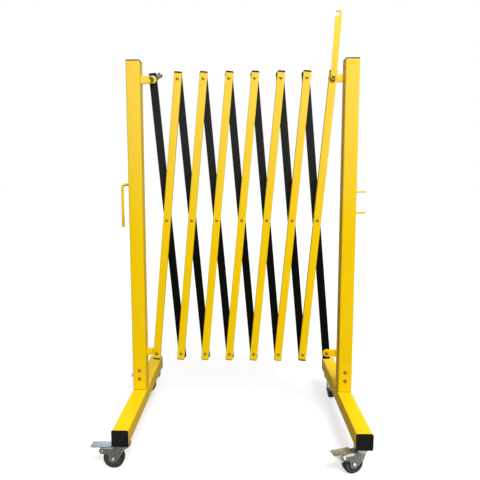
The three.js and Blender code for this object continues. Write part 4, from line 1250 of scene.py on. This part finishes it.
# Brake pedal: a tread over the fork, two skirts inside it on the cross pin, and the brake tongue
def build_pedal(name, matrix, deep):
    outer = FORK_HALF + PEDAL_FLANGE
    under = PEDAL_TOP - PEDAL_PLATE
    knee = (-PIN_BACK, PIN_HEIGHT)
    body = f"pedal_{name}"
    skirt_outer = FORK_INNER - SKIRT_ROOM
    tip, heel = FLANGE_TIP - PEDAL_REACH, -PIN_BACK - FLANGE_BACK
    flange = [(tip, under + FLANGE_SINK), (tip + FLANGE_TAPER, under - FLANGE_DROP),
              (heel - FLANGE_BACK_TAPER, under - FLANGE_DROP), (heel, under + FLANGE_SINK)]
    parts = []
    for side in (-1, 1):
        ends = sorted((side * skirt_outer, side * (skirt_outer - PEDAL_FLANGE)))
        parts.append(flat_plate(pedal_side(deep), [circle(knee, PIN_SHANK)], *ends, SKIRT_EDGE, 1))
        ends = sorted((side * (outer - FLANGE_GAP), side * (outer - PEDAL_FLANGE)))
        parts.append(flat_plate(flange, [], *ends, FLANGE_EDGE))
    width = 2 * (skirt_outer - PEDAL_FLANGE / 2)
    tongue = bar_solid(TONGUE_PLATE, width, TONGUE_ROUND, 0, TONGUE_LENGTH, TONGUE_EASE)
    fall = math.atan2(PIN_HEIGHT - WHEEL, PIN_BACK - TRAIL) + TONGUE_LEAN
    parts.append(moved(tongue, place(-PIN_BACK, 0, PIN_HEIGHT, math.radians(90) + fall)))
    # Painted light: the left skirts take the near-white zinc, the right ones a mid grey
    piece(f"brake_skirt_{name}", merged(parts), FLANK_ZINC if deep else LIT_SKIRT_ZINC, body,
          matrix=matrix, sharp=PRESSED_EDGE)
    piece(f"brake_pedal_{name}_tread", pedal_tread(outer), WARM_ZINC if deep else BLUE_ZINC, body,
          [f"brake_pedal_{name}"], matrix, sharp=ROUNDED_EDGE)
    pin = mirrored([(radius, FORK_SEAT + rise) for radius, rise in PIN_PROFILE], 24, knee)
    # Painted highlight: the right pins take the near-white polish, the left ones plain steel
    piece(f"brake_pin_{name}", pin, POLISH_AND_HIGHLIGHT if deep else STEEL, body, matrix=matrix)


for name in ("front_left", "rear_left", "front_right", "rear_right"):
    build_caster(name)


# Floor, light and camera

# 1 for the rays that see the backdrop directly or in a gloss, 0 for the rays that carry its light
def seen_directly(tree):
    path = tree.nodes.new("ShaderNodeLightPath")
    seen = path.outputs["Is Camera Ray"]
    for ray in ("Is Glossy Ray", "Is Transmission Ray"):
        either = add(tree, "ShaderNodeMath", operation="MAXIMUM")
        tree.links.new(seen, either.inputs[0])
        tree.links.new(path.outputs[ray], either.inputs[1])
        seen = either.outputs[0]
    return seen


def floor():
    bm = bmesh.new()
    bmesh.ops.create_grid(bm, x_segments=1, y_segments=1, size=FLOOR_SIZE / 2)
    made = linked("floor", to_mesh(bm))
    material, tree, shader = node_material("floor")
    seen = seen_directly(tree)
    tree.links.new(spread(tree, seen, FLOOR_BOUNCE, FLOOR_SEEN), shader.inputs["Base Color"])
    shader.inputs["Emission Color"].default_value = (1, 1, 1, 1)
    tree.links.new(spread(tree, seen, 0, FLOOR_GLOW), shader.inputs["Emission Strength"])
    shader.inputs["Roughness"].default_value = FLOOR_ROUGHNESS
    shader.inputs["Specular IOR Level"].default_value = FLOOR_SHINE
    made.data.materials.append(material)


def world():
    made = bpy.data.worlds.new("studio")
    bpy.context.scene.world = made
    made.use_nodes = True
    tree = made.node_tree
    background = tree.nodes["Background"]
    background.inputs["Color"].default_value = (1, 1, 1, 1)
    tree.links.new(spread(tree, seen_directly(tree), WORLD_LIGHT, 1.0), background.inputs["Strength"])


def lamp(name, kind, energy, place_m, towards):
    data = bpy.data.lights.new(name, kind)
    data.energy = energy
    made = linked(name, data)
    made.location = place_m
    made.rotation_euler = (Vector(place_m) - Vector(towards)).to_track_quat("Z", "Y").to_euler()
    return data


def lights():
    for name, strength, place_m in (("key", KEY_STRENGTH, KEY_FROM), ("fill", FILL_STRENGTH, FILL_FROM)):
        lamp(name, "SUN", strength, place_m, (0, 0, 0)).angle = SUN_SOFTNESS
    lamp("softbox", "AREA", SOFTBOX_WATTS, SOFTBOX_PLACE, SOFTBOX_AIM).size = SOFTBOX_SIZE


def camera():
    data = bpy.data.cameras.new("camera")
    data.sensor_width = CAMERA_SENSOR
    data.lens = CAMERA_LENS
    data.shift_x = AXIS_LEFT_PX / IMAGE_SIDE
    data.shift_y = -AXIS_UP_PX / IMAGE_SIDE
    made = linked("camera", data)
    tilt = Matrix.Rotation(math.pi / 2 - CAMERA_PITCH, 4, "X") @ Matrix.Rotation(CAMERA_ROLL, 4, "Z")
    made.matrix_world = place(*(Vector(CAMERA_PLACE) * MM), CAMERA_YAW, "Z") @ tilt
    bpy.context.scene.camera = made


floor()
world()
lights()
camera()
bpy.context.scene.view_settings.view_transform = "Standard"
